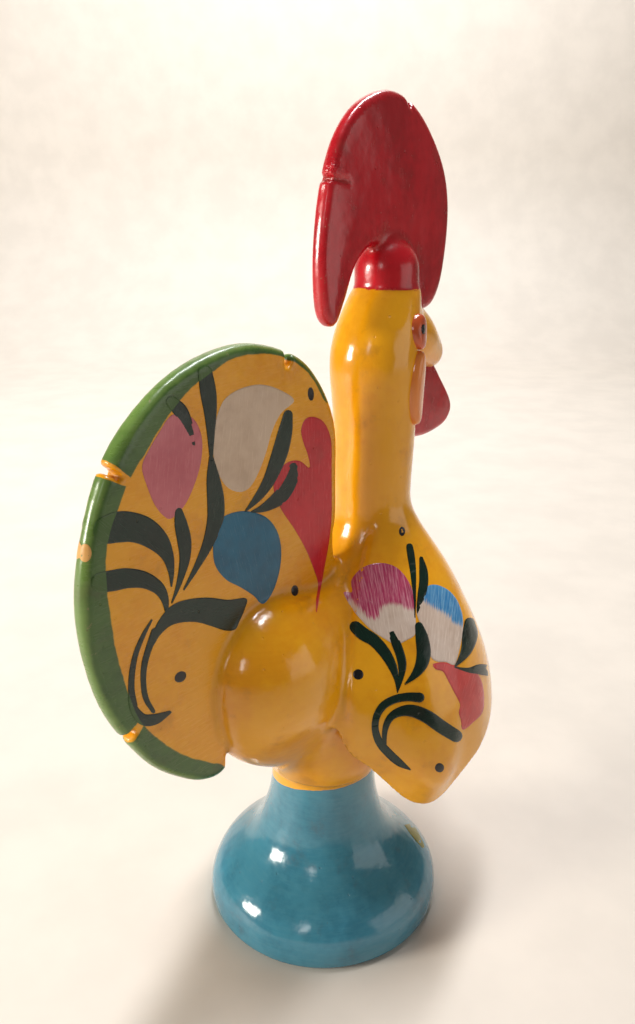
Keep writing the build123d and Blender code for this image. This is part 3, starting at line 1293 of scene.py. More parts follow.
def closed_piece(name: str, outer: Points, inner: Points, faces: np.ndarray, normals: Points,
                 zones: dict) -> Object:
    """Make a closed piece from a patch of skin, an inner face and a rim between the two.

    Args:
        name: The piece's name.
        outer: The patch's points.
        inner: The same points on the inner side.
        faces: The patch's faces.
        normals: The outward ways of its points.
        zones: The named distances to keep on the points.

    Returns:
        The new piece.
    """
    count = len(outer)
    rim = rim_edges(faces)
    sides = np.stack([rim[:, 1], rim[:, 0], rim[:, 0] + count, rim[:, 1] + count], 1)
    every = faces.tolist() + (faces[:, ::-1] + count).tolist() + sides.tolist()
    both = {zone: np.concatenate([values, values]) for zone, values in zones.items()}
    return mesh_piece(name, np.concatenate([outer, inner]), every, np.concatenate([normals, -normals]), both)


@dataclass
class SmallPieces:
    """The pieces that are pressed on separately: wattle, eyes and ear lobes."""

    wattle: Wattle = field(default_factory=Wattle)
    voxel: float = 0.55
    quick_voxel: float = 0.9
    eye_size: tuple = (33.0, 209.5, 4.6, 5.8, 2.2, 2.0)
    lobe_size: tuple = (32.5, 191.0, 5.0, 12.5, 2.4, 2.4)

    def __post_init__(self) -> None:
        """Make the forms of both sides."""
        sides = (("right", -1), ("left", 1))
        self.eyes = [Pad(f"{name}_eye", side, *self.eye_size) for name, side in sides]
        self.lobes = [Pad(f"{name}_ear_lobe", side, *self.lobe_size) for name, side in sides]

    def build(self) -> dict[str, Object]:
        """Mesh each piece as a closed solid.

        Returns:
            The pieces by node name.
        """
        step = self.voxel
        pieces = {}
        for form in [self.wattle, *self.eyes, *self.lobes]:
            points, quads, normals = skin_of(form.distance, *form.box(), step)
            away = np.zeros(len(points))
            piece = mesh_piece(f"{form.node}_enamelled", points, quads.tolist(), normals, {"edge": away})
            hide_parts(form.node)
            pieces[form.node] = piece
            log.info("%s: %d faces", form.node, len(quads))
        return pieces


# The brush painter's work

@dataclass(frozen=True)
class Stroke:
    """One pull of the brush, whose width swells and tapers along its line."""

    path_px: tuple
    widths_px: tuple
    least_width_px: float = 0.6
    per_span: int = 10
    tip_points: int = 9

    def outline(self) -> np.ndarray:
        """Draw the stroke with rounded ends.

        Returns:
            The outline's pixels.
        """
        stations = [(*place, width) for place, width in zip(self.path_px, self.widths_px)]
        line = open_curve(stations, self.per_span)
        path, half = line[:, :2], np.maximum(line[:, 2:], self.least_width_px) / 2
        run = np.gradient(path, axis=0)
        run /= np.linalg.norm(run, axis=1)[:, None]
        side = np.stack([-run[:, 1], run[:, 0]], 1)
        turns = np.linspace(0, math.pi, self.tip_points)[1:-1, None]
        tip = path[-1] + half[-1] * (np.cos(turns) * side[-1] + np.sin(turns) * run[-1])
        start = path[0] + half[0] * (-np.cos(turns) * side[0] - np.sin(turns) * run[0])
        return np.concatenate([path + half * side, tip, (path - half * side)[::-1], start])

    def run(self) -> tuple[np.ndarray, np.ndarray]:
        """Where the stroke starts and ends."""
        return np.array(self.path_px[0], float), np.array(self.path_px[-1], float)


@dataclass(frozen=True)
class Patch:
    """A shape filled in with the brush, from its top to its foot, with a wash over a part of it."""

    outline_px: tuple
    run_px: tuple
    wash_px: tuple = ()
    per_span: int = 5

    def outline(self) -> np.ndarray:
        """The patch's outline in pixels."""
        return closed_curve(self.outline_px, self.per_span)

    def run(self) -> tuple[np.ndarray, np.ndarray]:
        """Which way the brush went."""
        return np.array(self.run_px[0], float), np.array(self.run_px[1], float)


@dataclass(frozen=True)
class Dot:
    """A dot set down with the brush's tip."""

    centre_px: tuple
    half_px: tuple
    turn: float = 0.0
    corners: int = 20

    def outline(self) -> np.ndarray:
        """Draw the dot.

        Returns:
            The outline's pixels.
        """
        turns = np.linspace(0, 2 * math.pi, self.corners, endpoint=False)
        x, y = self.half_px[0] * np.cos(turns), self.half_px[1] * np.sin(turns)
        lean = math.radians(self.turn)
        flat = np.stack([x * math.cos(lean) - y * math.sin(lean), x * math.sin(lean) + y * math.cos(lean)], 1)
        return flat + np.array(self.centre_px)

    def run(self) -> tuple[np.ndarray, np.ndarray]:
        """From the dot's top to its foot."""
        centre = np.array(self.centre_px, float)
        return centre - [0, self.half_px[1]], centre + [0, self.half_px[1]]


Motif = Union[Stroke, Patch, Dot]


@dataclass(frozen=True)
class PaintLayer:
    """A thin raised layer of paint that follows the skin under it."""

    ground: Field
    view: Viewpoint = Viewpoint()
    rim_px: float = 2.2
    grain_px: float = 4.2
    row_share: float = 0.87
    inset_share: float = 0.5
    weld_px: float = 1e-4
    px_per_mm: float = 2.3
    bed: float = 0.3
    thinnest: float = 0.06
    fullness: float = 0.10
    bead: float = 0.6
    per_layer: float = 0.07
    mirror_limit: float = 1.5
    mirror_rounds: int = 3
    trace_limit: float = 0.5
    wash_per_span: int = 4

    def flat_mesh(self, motif: Motif) -> tuple[np.ndarray, np.ndarray, np.ndarray]:
        """Fill a motif's outline with triangles, in pixels.

        Args:
            motif: The motif.

        Returns:
            The pixels, the triangles and the distance of each pixel inside the outline.
        """
        outline = even_outline(motif.outline(), self.rim_px)
        low, high = outline.min(0), outline.max(0)
        rows = np.arange(low[1], high[1], self.grain_px * self.row_share)
        grid = [(x, y) for i, y in enumerate(rows)
                for x in np.arange(low[0] + (i % 2) * self.grain_px / 2, high[0], self.grain_px)]
        grid = np.array(grid).reshape(-1, 2)
        inner = grid[outline_distance(outline, grid) < -self.inset_share * self.grain_px]
        flat = [Vector(place) for place in np.concatenate([outline, inner])]
        found = geometry.delaunay_2d_cdt(flat, [], [list(range(len(outline)))], 1, self.weld_px)
        pixels = np.array([tuple(v) for v in found[0]])
        triangles = np.array([face for face in found[2] if len(face) == 3], int)
        return pixels, triangles, np.maximum(-outline_distance(outline, pixels), 0)

    def lay(self, name: str, motifs: Sequence[Motif], layer: int,
            zones: Optional[Callable[[Points], dict]] = None) -> list:
        """Lay motifs on the right side, and mirror them on the left.

        Args:
            name: The piece's name, without its side.
            motifs: What is painted.
            layer: How many layers lie under this one.
            zones: Gives further named distances for points on the skin.

        Returns:
            The two pieces.
        """
        skin, triangles, marks = self.on_skin(motifs)
        thick = self.thinnest + self.fullness * (1 - np.exp(-marks["inside"] / self.bead))
        lift = (thick + layer * self.per_layer)[:, None]
        pieces = []
        for side, mirror in (("right", 1), ("left", -1)):
            hits = skin if mirror > 0 else settle(
                self.ground, skin * np.array([1, -1, 1]), self.mirror_limit, self.mirror_rounds)
            way = slope_of(self.ground, hits)
            kept = {**marks, **(zones(hits) if zones else {})}
            pieces.append(closed_piece(f"{name}_{side}", hits + lift * way, hits - self.bed * way,
                                       triangles[:, ::mirror], way, kept))
        log.info("%s: %d motifs, %d points", name, len(motifs), len(skin))
        return pieces

    def on_skin(self, motifs: Sequence[Motif]) -> tuple[Points, np.ndarray, dict[str, np.ndarray]]:
        """Carry motifs from the photograph's view onto the skin.

        Args:
            motifs: The motifs.

        Returns:
            Their points, their triangles, and the distances along, across and inside each.
        """
        flat = [self.flat_mesh(motif) for motif in motifs]
        starts = np.cumsum([0] + [len(pixels) for pixels, _, _ in flat])
        pixels = np.concatenate([part[0] for part in flat])
        triangles = np.concatenate([part[1] + start for part, start in zip(flat, starts)])
        each = [{"inside": inside, **self.marks(motif, own)} for motif, (own, _, inside) in zip(motifs, flat)]
        marks = {mark: np.concatenate([own[mark] for own in each]) for mark in each[0]}
        points, met = trace(self.ground, self.view, pixels)
        points = settle(self.ground, points, self.trace_limit, 1)
        kept = triangles[met[triangles].all(1)]
        used, inverse = np.unique(kept, return_inverse=True)
        if len(used) < len(pixels):
            log.info("%d of %d points of the motifs miss the skin", len(pixels) - len(used), len(pixels))
        triangles, points = inverse.reshape(-1, 3), points[used]
        triangles = facing_out(points, triangles, slope_of(self.ground, points))
        return points, triangles, {mark: values[used] / self.px_per_mm for mark, values in marks.items()}

    def marks(self, motif: Motif, pixels: np.ndarray) -> dict[str, np.ndarray]:
        """Measure how a motif's pixels lie to the brush's way and to its wash.

        Args:
            motif: The motif.
            pixels: Its pixels, one row each.

        Returns:
            The named distances in pixels.
        """
        start, end = motif.run()
        way = (end - start) / max(float(np.linalg.norm(end - start)), 1.0)
        offset = pixels - start
        found = {"along": offset @ way, "across": offset[:, 0] * way[1] - offset[:, 1] * way[0]}
        wash = getattr(motif, "wash_px", ())
        if wash:
            found["wash"] = -outline_distance(closed_curve(wash, self.wash_per_span), pixels)
        return found


@dataclass(frozen=True)
class TailMotifs:
    """What is painted on each face of the fan, by the photograph's pixels."""

    leaves: tuple = (
        Stroke(((172, 402), (181, 412), (188.5, 428), (193, 443), (194.6, 456)), (12, 14, 9.5, 5, 1.2)),
        Stroke(((205, 372), (208, 392), (210, 410), (210.7, 432), (211, 458)), (14, 16, 13, 8, 3)),
        Stroke(((211, 457), (213, 478), (215.5, 500), (215, 520), (208, 543), (197, 566), (183.5, 590)),
               (4, 13, 17, 16, 11, 6, 1.4)),
        Stroke(((288, 414.5), (285, 432), (279, 455), (269, 480), (258, 497), (245, 511.5)),
               (9, 14, 15.5, 12, 8, 1.4)),
        Stroke(((293.5, 467.5), (291, 480), (283, 494), (272, 503), (261, 509), (251, 511.8)),
               (10, 15, 16, 12, 7, 1.4)),
        Stroke(((107, 530), (119, 527), (131, 527), (145, 531.4), (158.4, 541.9), (167.4, 556), (171, 572),
                (171.3, 587)), (28, 31, 30, 28, 22, 12.5, 6, 1.2)),
        Stroke(((101, 582.5), (113, 580.5), (127, 578.2), (143.5, 579.8), (157.5, 587.5), (164.5, 598.9),
                (167, 616)), (20, 21, 20, 17, 13, 8, 1.4)),
        Stroke(((178.5, 511.5), (181, 525), (184, 540), (184.8, 556), (182, 572), (177, 589), (171.5, 603)),
               (8, 13, 14, 11, 7.5, 4, 1.2)),
        Patch(((151, 643), (153.5, 631), (161, 617), (171, 606), (185, 600), (207, 597.5), (228, 599.8),
               (246, 598.2), (244.5, 609), (239, 622), (235, 629.5), (225, 630.5), (211, 626), (196, 622),
               (181, 622.5), (169, 626.5), (159, 636), (153.5, 645)), ((152, 640), (244, 612))),
        Stroke(((155.5, 632), (149.5, 646), (144.6, 663), (143.2, 680), (145.6, 698), (153.3, 711.5)),
               (9, 6.5, 6, 5.5, 5.5, 4)),
        Stroke(((151.8, 619.5), (143.4, 634.8), (136, 652.8), (132.2, 670.8), (131.2, 688.8), (133.4, 706)),
               (1.5, 4, 5, 5.8, 6.3, 8)),
        Stroke(((130.5, 699), (135, 711), (143.4, 719.6), (155.4, 719), (170, 712)), (5, 9, 11.5, 10.5, 3)),
    )
    pink_petals: tuple = (
        Patch(((142, 467), (149.4, 449), (160, 431), (170.4, 416), (184, 413.5), (196, 422), (202, 440),
               (200.4, 464), (193, 488), (184, 506), (172, 518), (165, 517), (155.4, 506), (148, 489)),
              ((176, 414), (168, 518))),
    )
    pale_petals: tuple = (
        Patch(((219.9, 408), (228, 396), (243.9, 387.5), (261.9, 384.7), (280, 390), (294, 400.5), (281, 413),
               (272, 431), (266, 452), (259, 471), (250, 487), (239, 492), (226, 486), (217, 470), (213, 452),
               (214, 430)), ((250, 386), (240, 492))),
    )
    hearts: tuple = (
        Patch(((301, 431), (304.5, 420), (313, 416.6), (324, 422.5), (331, 440), (331.5, 470), (331.5, 515),
               (329, 542), (325.5, 562), (321.5, 584), (316.5, 613), (316, 600), (318, 584), (313.5, 569),
               (306, 550), (295, 530), (281, 509), (273.5, 489), (277, 473), (288, 462), (300, 461),
               (309.6, 468), (307.8, 455), (303.5, 443)), ((315, 417), (317, 613))),
    )
    drops: tuple = (
        Patch(((223, 517), (243, 511), (264, 516), (276.5, 530), (281, 549), (279.5, 570), (273.5, 590),
               (265.5, 602.5), (260, 603), (254, 596), (241, 587.5), (226, 579.5), (215.5, 566), (213, 550),
               (215, 531)), ((240, 512), (263, 604))),
    )
    dots: tuple = (
        Dot((310.8, 394), (3.0, 7.0), -4),
        Dot((294.8, 590.6), (3.6, 5.6)),
        Dot((180.4, 676.8), (6.6, 4.9), -42),
    )
    worn_spots: tuple = (Dot((85.2, 553), (6.4, 9.2)), Dot((74.2, 553), (2.2, 5.5)))


@dataclass(frozen=True)
class WingMotifs:
    """What is painted on each wing and on the breast beside it, by the photograph's pixels."""

    leaves: tuple = (
        Stroke(((409.4, 546.5), (411, 556), (413, 571.6), (414.2, 591), (414.8, 604), (414.8, 618)),
               (6.5, 7.2, 5.8, 3.4, 2, 1)),
        Stroke(((421, 558), (423.2, 570), (423.6, 582), (421.5, 595), (418.6, 606), (417.3, 613)),
               (3.5, 8, 9, 8, 4, 1)),
        Stroke(((355.4, 627), (363.4, 634), (374, 640.5), (385, 653), (392.7, 667), (396.6, 680),
                (397.6, 693)), (12, 13, 12, 11, 8.5, 4.5, 1)),
        Stroke(((391, 630.5), (395.5, 642), (400, 654), (402.2, 665), (401.2, 677), (398, 691)),
               (7, 9, 9, 8.5, 5, 1)),
        Stroke(((418.8, 626), (421.6, 637), (423.6, 651.8), (421.5, 663.8), (415.4, 674), (404.6, 684.6)),
               (8, 12.5, 14, 12.5, 8, 1)),
        Stroke(((469.7, 623), (469.9, 634.5), (466.8, 648.6), (461, 659), (454.2, 667)),
               (11, 15.5, 11.5, 6, 1)),
        Stroke(((454, 667), (462, 669), (469.7, 670.2), (479, 669.3), (487, 670.2)), (1, 3, 5.5, 10, 11)),
        Stroke(((419.5, 697.5), (406.8, 697), (393.8, 699.6), (383, 706), (376.4, 717), (375.3, 730),
                (379.7, 742.5), (389.4, 753.8), (400, 763), (410.5, 769.6)),
               (10, 8.5, 8, 7.8, 7, 7, 8, 8.4, 7, 1.2)),
        Stroke(((456, 736), (441.5, 726.9), (426.3, 716.3), (411, 710.6), (398, 712.4), (389.2, 719),
                (385, 730), (384.6, 741), (386, 751)), (12.5, 13.4, 13.4, 12, 9, 7, 5.6, 4, 1.4)),
    )
    magenta_petals: tuple = (
        Patch(((352.5, 578), (363, 567.5), (378.6, 563), (393.8, 566), (404.6, 575.5), (411.5, 588),
               (415.2, 602), (415.6, 618), (415.2, 634), (406.8, 640), (396, 644.5), (385, 639), (372, 630.5),
               (361, 619.5), (352, 608.5), (343.5, 592.5), (352, 592.5), (351.4, 585)),
              ((382, 563), (396, 644)),
              ((345, 570), (363, 555), (395, 556), (420, 575), (422, 606), (411, 610), (398, 605),
               (389, 604.5), (381, 608), (379, 616), (374, 620), (366, 616), (358, 607), (349, 600),
               (338, 594))),
    )
    blue_petals: tuple = (
        Patch(((422, 592.5), (428.5, 585.7), (437, 585), (448, 590), (456.7, 599.8), (461.8, 612.8),
               (463, 624), (462, 636), (458.8, 651.8), (454.3, 665), (445.8, 662), (437, 661.5), (430.4, 656),
               (429, 641), (424, 630), (417.6, 617), (416.8, 605)),
              ((446, 587), (440, 662)),
              ((412, 590), (428, 578), (450, 580), (470, 605), (470, 626), (461, 626), (455, 623), (447, 616),
               (440, 611.5), (432, 607), (424, 601.5), (418, 598))),
    )
    rose_petals: tuple = (
        Patch(((432.8, 664.2), (443.6, 662.2), (454.5, 665.5), (469.7, 671), (477.5, 673.8), (482.5, 684),
               (484.2, 699.6), (482.4, 712.6), (474, 721.5), (463, 730), (461, 721), (458.8, 712.6),
               (460, 704), (454.5, 693), (448, 680.5), (443, 671.5), (436, 669.5)),
              ((478, 673), (462, 728))),
    )
    dots: tuple = (
        Dot((402, 531.4), (3.1, 4.8)),
        Dot((358.2, 674.4), (5.4, 5.2), 30),
        Dot((439.5, 767.7), (4.6, 4.7)),
    )


@dataclass(frozen=True)
class FootMotifs:
    """The bird's leg, one stripe of paint on each side of the foot."""

    legs: tuple = (
        Stroke(((390.6, 796.8), (398.4, 808.9), (407, 821), (415.6, 834.7), (423, 846.5)),
               (5, 8.6, 8.6, 7.4, 3)),
    )


# The paints

@dataclass(frozen=True)
class Paint:
    """One pot of enamel, as mixed, where it lies deep and where the brush left it thin."""

    body: tuple
    deep: tuple
    thin: tuple


class Pot(Enum):
    """The pots on the painter's bench; colours are 8-bit values on the screen."""

    YELLOW = Paint((240, 168, 18), (230, 150, 10), (248, 184, 44))
    BLUE = Paint((66, 136, 160), (48, 114, 138), (100, 160, 172))
    RED = Paint((196, 16, 32), (160, 6, 20), (216, 52, 64))
    BAND_GREEN = Paint((70, 104, 44), (50, 80, 34), (98, 124, 56))
    # A lighter green for the fan's rim, a painted highlight.
    RIM_HIGHLIGHT_GREEN = Paint((104, 134, 62), (84, 114, 50), (140, 156, 84))
    LEAF_GREEN = Paint((3, 38, 26), (1, 22, 16), (10, 58, 38))
    PINK = Paint((206, 112, 122), (190, 90, 104), (220, 140, 140))
    PALE = Paint((214, 190, 166), (196, 168, 142), (230, 212, 192))
    HEART = Paint((208, 34, 48), (182, 20, 36), (224, 66, 74))
    DROP = Paint((20, 104, 138), (10, 82, 114), (46, 126, 152))
    MAGENTA = Paint((184, 62, 100), (156, 34, 78), (232, 170, 184))
    SKY = Paint((70, 144, 192), (40, 112, 170), (150, 194, 214))
    WHITE = Paint((214, 194, 178), (198, 172, 152), (230, 214, 200))
    ROSE = Paint((206, 62, 58), (182, 42, 44), (222, 98, 86))
    BLACK = Paint((14, 11, 16), (6, 5, 8), (30, 26, 34))
    OCHRE = Paint((226, 170, 96), (200, 138, 66), (240, 196, 132))
    OLIVE = Paint((132, 132, 22), (104, 108, 16), (166, 160, 50))
    EYE_ORANGE = Paint((206, 92, 44), (180, 68, 30), (222, 122, 70))
    LOBE_ORANGE = Paint((232, 138, 62), (214, 112, 38), (244, 168, 96))


class Slot(Enum):
    """The record's material slots."""

    YELLOW = "yellow_enamel"
    RED = "red_enamel"
    BLUE = "blue_enamel"
    ORANGE = "orange_enamel"


def linear(colour: Sequence[float]) -> tuple:
    """Turn an 8-bit screen colour into the linear colour that a shader takes."""
    shares = [part / 255 for part in colour]
    return (*(s / 12.92 if s <= 0.04045 else ((s + 0.055) / 1.055) ** 2.4 for s in shares), 1.0)


# Shader boards

class Board:
    """A board of shader nodes: a material's or a group's."""

    def __init__(self, tree: Tree) -> None:
        """Take the tree that the nodes go into."""
        self.tree = tree

    def feed(self, socket: Socket, value: Value) -> None:
        """Link a socket to another, or set its value."""
        if isinstance(value, bpy.types.NodeSocket):
            self.tree.links.new(value, socket)
        else:
            socket.default_value = value

    def add(self, kind: str, inputs: Optional[dict] = None, **settings: object) -> bpy.types.Node:
        """Put a node on the board.

        Args:
            kind: Blender's name for the node.
            inputs: What goes into its sockets, by name or number.
            **settings: The node's own properties.

        Returns:
            The node.
        """
        node = self.tree.nodes.new(kind)
        for name, value in settings.items():
            setattr(node, name, value)
        for key, value in (inputs or {}).items():
            self.feed(node.inputs[key], value)
        return node

    def math(self, operation: str, *values: Value, clamp: bool = False) -> Socket:
        """Work values out with one Math node."""
        node = self.add("ShaderNodeMath", dict(enumerate(values)), operation=operation, use_clamp=clamp)
        return node.outputs[0]

    def times(self, first: Value, second: Value, clamp: bool = False) -> Socket:
        """Multiply two values."""
        return self.math("MULTIPLY", first, second, clamp=clamp)

    def plus(self, first: Value, second: Value) -> Socket:
        """Add two values."""
        return self.math("ADD", first, second)

    def minus(self, first: Value, second: Value) -> Socket:
        """Take the second value from the first."""
        return self.math("SUBTRACT", first, second)

    def times_plus(self, first: Value, second: Value, third: Value, clamp: bool = False) -> Socket:
        """Multiply two values and add a third."""
        return self.math("MULTIPLY_ADD", first, second, third, clamp=clamp)

    def surface(self, inputs: Sockets, colour: Value, rough: Value, height: Value,
                strength: float = 1.0) -> None:
        """Give a shader its colour, roughness and relief.

        Args:
            inputs: The shader's inputs.
            colour: The base colour.
            rough: The roughness.
            height: The relief in millimetres.
            strength: How strongly the relief shows.
        """
        bump = self.add("ShaderNodeBump", {"Height": height, "Distance": MM, "Strength": strength})
        self.feed(inputs["Base Color"], colour)
        self.feed(inputs["Roughness"], rough)
        self.feed(inputs["Normal"], bump.outputs["Normal"])

    def rise(self, value: Value, low: Value, high: Value, bottom: float = 0.0, top: float = 1.0) -> Socket:
        """Rise smoothly while a value goes from low to high.

        Args:
            value: The value.
            low: Where the rise starts.
            high: Where it ends.
            bottom: What it starts from.
            top: What it comes to.

        Returns:
            The risen value.
        """
        names = ("Value", "From Min", "From Max", "To Min", "To Max")
        inputs = dict(zip(names, (value, low, high, bottom, top)))
        return self.add("ShaderNodeMapRange", inputs, interpolation_type="SMOOTHSTEP").outputs["Result"]

    def mix(self, share: Value, first: Value, second: Value) -> Socket:
        """Mix two colours."""
        return self.add("ShaderNodeMix", {0: share, 6: first, 7: second}, data_type="RGBA").outputs[2]

    def noise(self, place: Value, scale: Value, detail: float = 2.0, rough: float = 0.5) -> Socket:
        """Noise about one half; scale counts its waves in a millimetre."""
        inputs = {"Vector": place, "Scale": scale, "Detail": detail, "Roughness": rough}
        return self.add("ShaderNodeTexNoise", inputs).outputs["Fac"]

    def stretched(self, place: Value, run: Sequence[float]) -> Socket:
        """Scale a place by a share along each axis."""
        return self.add("ShaderNodeVectorMath", {0: place, 1: tuple(run)}, operation="MULTIPLY").outputs[0]

    def use(self, group: Tree, **inputs: Value) -> Sockets:
        """Place a group, fed by its sockets' names, and give its outputs."""
        return self.add("ShaderNodeGroup", inputs, node_tree=group).outputs

    def zone(self, name: str) -> Socket:
        """A distance kept on the mesh's points."""
        return self.add("ShaderNodeAttribute", attribute_name=name).outputs["Fac"]

    def place(self) -> Socket:
        """Where a point of the surface is, in millimetres; all pieces share it."""
        return self.stretched(self.add("ShaderNodeTexCoord").outputs["Object"], (1 / MM, 1 / MM, 1 / MM))


def new_material(name: str) -> tuple[Material, Board, Sockets]:
    """Start a material.

    Args:
        name: The material's name.

    Returns:
        The material, its board and its shader's inputs.
    """
    material = bpy.data.materials.new(name)
    material.use_nodes = True
    return material, Board(material.node_tree), material.node_tree.nodes["Principled BSDF"].inputs


@dataclass(frozen=True)
class Port:
    """One named input or output of a group."""

    name: str
    kind: str = "NodeSocketFloat"
    value: Optional[Value] = None


COLOUR, VECTOR = "NodeSocketColor", "NodeSocketVector"


def new_group(name: str, takes: Sequence[Port], gives: Sequence[Port]) -> tuple:
    """Start a node group.

    Args:
        name: The group's name.
        takes: Its inputs.
        gives: Its outputs.

    Returns:
        The group, its board, its input sockets by name and its output node.
    """
    group = bpy.data.node_groups.new(name, "ShaderNodeTree")
    for ports, way in ((takes, "INPUT"), (gives, "OUTPUT")):
        for port in ports:
            socket = group.interface.new_socket(port.name, in_out=way, socket_type=port.kind)
            if port.value is not None:
                socket.default_value = port.value
    board = Board(group)
    return group, board, board.add("NodeGroupInput").outputs, board.add("NodeGroupOutput").inputs


def brush_streaks() -> Tree:
    """The fine ridges that a bristle brush leaves along its way.

    Returns:
        The group; its Place is already squeezed along the brush's way.
    """
    group, board, takes, gives = new_group(
        "brush_streaks",
        [Port("Place", VECTOR), Port("Fineness", value=1.0)],
        [Port("Streak"), Port("Height")])
    coarse = board.noise(takes["Place"], takes["Fineness"], 2.0, 0.5)
    hairs = board.noise(takes["Place"], board.times(takes["Fineness"], 3.1), 2.0, 0.6)
    both = board.plus(board.times(coarse, 0.6), board.times(hairs, 0.4))
    board.feed(gives["Streak"], board.rise(both, 0.42, 0.66))
    board.feed(gives["Height"], board.times(both, 0.022))
    return group


def coat_depth() -> Tree:
    """A coat's colour as the enamel runs deep or thin.

    Returns:
        The group.
    """
    group, board, takes, gives = new_group(
        "coat_depth",
        [Port("Place", VECTOR), Port("Streak"), *(Port(name, COLOUR) for name in ("Body", "Deep", "Thin"))],
        [Port("Colour", COLOUR)])
    wide = board.noise(takes["Place"], 0.045, detail=3.0, rough=0.5)
    near = board.noise(takes["Place"], 0.31, detail=3.0, rough=0.55)
    deep = board.rise(board.plus(board.times(wide, 0.7), board.times(near, 0.3)),
                      0.42, 0.64)
    colour = board.mix(board.times(deep, 0.75), takes["Body"], takes["Deep"])
    board.feed(gives["Colour"], board.mix(board.times(takes["Streak"], 0.12), colour, takes["Thin"]))
    return group


def hand_line() -> Tree:
    """A line between two coats, drawn by hand, so it wavers a little.

    Returns:
        The group; its Mask is 1 where Distance is positive.
    """
    group, board, takes, gives = new_group(
        "hand_line",
        [Port("Distance"), Port("Place", VECTOR), Port("Waver", value=0.8), Port("Softness", value=0.12)],
        [Port("Mask")])
    wave = board.minus(board.noise(takes["Place"], 0.22, detail=3.0, rough=0.6), 0.5)
    moved = board.math("MULTIPLY_ADD", wave, takes["Waver"], takes["Distance"])
    low = board.times(takes["Softness"], -1.0)
    board.feed(gives["Mask"], board.rise(moved, low, takes["Softness"]))
    return group


def handling_wear() -> Tree:
    """Where hands have rubbed the gloss off and knocks have chipped the edges.

    Returns:
        The group.
    """
    group, board, takes, gives = new_group(
        "handling_wear",
        [Port("Edge"), Port("Place", VECTOR), Port("Amount", value=1.0)],
        [Port("Rub"), Port("Chip")])
    patches = board.noise(takes["Place"], 0.16, detail=4.0, rough=0.6)
    rub = board.times(board.rise(takes["Edge"], 0.08, 0.5), board.rise(patches, 0.4, 0.62))
    board.feed(gives["Rub"], board.times(rub, takes["Amount"], clamp=True))
    grit = board.noise(takes["Place"], 0.85, detail=3.0, rough=0.7)
    sharp = board.times(board.rise(takes["Edge"], 0.16, 0.42), board.rise(patches, 0.56, 0.66))
    chips = board.times(sharp, board.rise(grit, 0.60, 0.64))
    board.feed(gives["Chip"], board.times(chips, takes["Amount"], clamp=True))
    return group


def stains_and_crease_shade() -> Tree:
    """Painted shade that darkens the creases, with faint stains and small dark specks under the enamel.

    Returns:
        The group.
    """
    group, board, takes, gives = new_group(
        "stains_and_crease_shade",
        [Port("Edge"), Port("Place", VECTOR), Port("Amount", value=1.0)],
        [Port("StainsAndShade")])
    # Painted shade: where the skin bends inwards, in creases, the colour is darkened.
    crease = board.rise(board.times(takes["Edge"], -1.0), 0.05, 0.45)
    stain = board.noise(takes["Place"], 0.09, detail=5.0, rough=0.65)
    stain = board.times(board.rise(stain, 0.56, 0.72), 0.4)
    cells = board.add("ShaderNodeTexVoronoi", {"Vector": takes["Place"], "Scale": 0.23})
    seeds = board.noise(takes["Place"], 0.05, detail=2.0, rough=0.5)
    reach = board.rise(seeds, 0.5, 0.7, 0.0, 0.085)
    speck = board.rise(cells.outputs["Distance"], reach, board.times(reach, 0.4))
    speck = board.times(speck, board.rise(seeds, 0.5, 0.56))
    crease = board.times(crease, 0.45)
    total = board.math("MAXIMUM", board.math("MAXIMUM", crease, stain), speck)
    board.feed(gives["StainsAndShade"], board.times(total, takes["Amount"], clamp=True))
    return group


def hand_relief() -> Tree:
    """The low lumps, finger marks and pinholes of hand-worked clay under the paint.

    Returns:
        The group; its Height is in millimetres.
    """
    group, board, takes, gives = new_group(
        "hand_relief",
        [Port("Place", VECTOR), Port("Strength", value=1.0)],
        [Port("Height")])
    lumps = board.times(board.noise(takes["Place"], 0.11, detail=2.0, rough=0.5), 0.42)
    grain = board.times(board.noise(takes["Place"], 0.42, detail=3.0, rough=0.5), 0.06)
    cells = board.add("ShaderNodeTexVoronoi", {"Vector": takes["Place"], "Scale": 0.16})
    hole = board.rise(cells.outputs["Distance"], 0.075, 0.03)
    height = board.minus(board.plus(lumps, grain), board.times(hole, 0.16))
    board.feed(gives["Height"], board.times(height, takes["Strength"]))
    return group


def bare_clay() -> Tree:
    """The fired clay itself, where no paint covers it.

    Returns:
        The group.
    """
    group, board, takes, gives = new_group(
        "bare_clay", [Port("Place", VECTOR)], [Port("Colour", COLOUR), Port("Height")])
    blotch = board.noise(takes["Place"], 0.2, detail=4.0, rough=0.6)
    grit = board.noise(takes["Place"], 1.9, detail=3.0, rough=0.7)
    colour = board.mix(board.rise(blotch, 0.35, 0.65), linear((176, 150, 122)), linear((142, 116, 92)))
    board.feed(gives["Colour"], board.mix(board.rise(grit, 0.5, 0.72), colour, linear((206, 186, 160))))
    board.feed(gives["Height"], board.times(grit, 0.16))
    return group


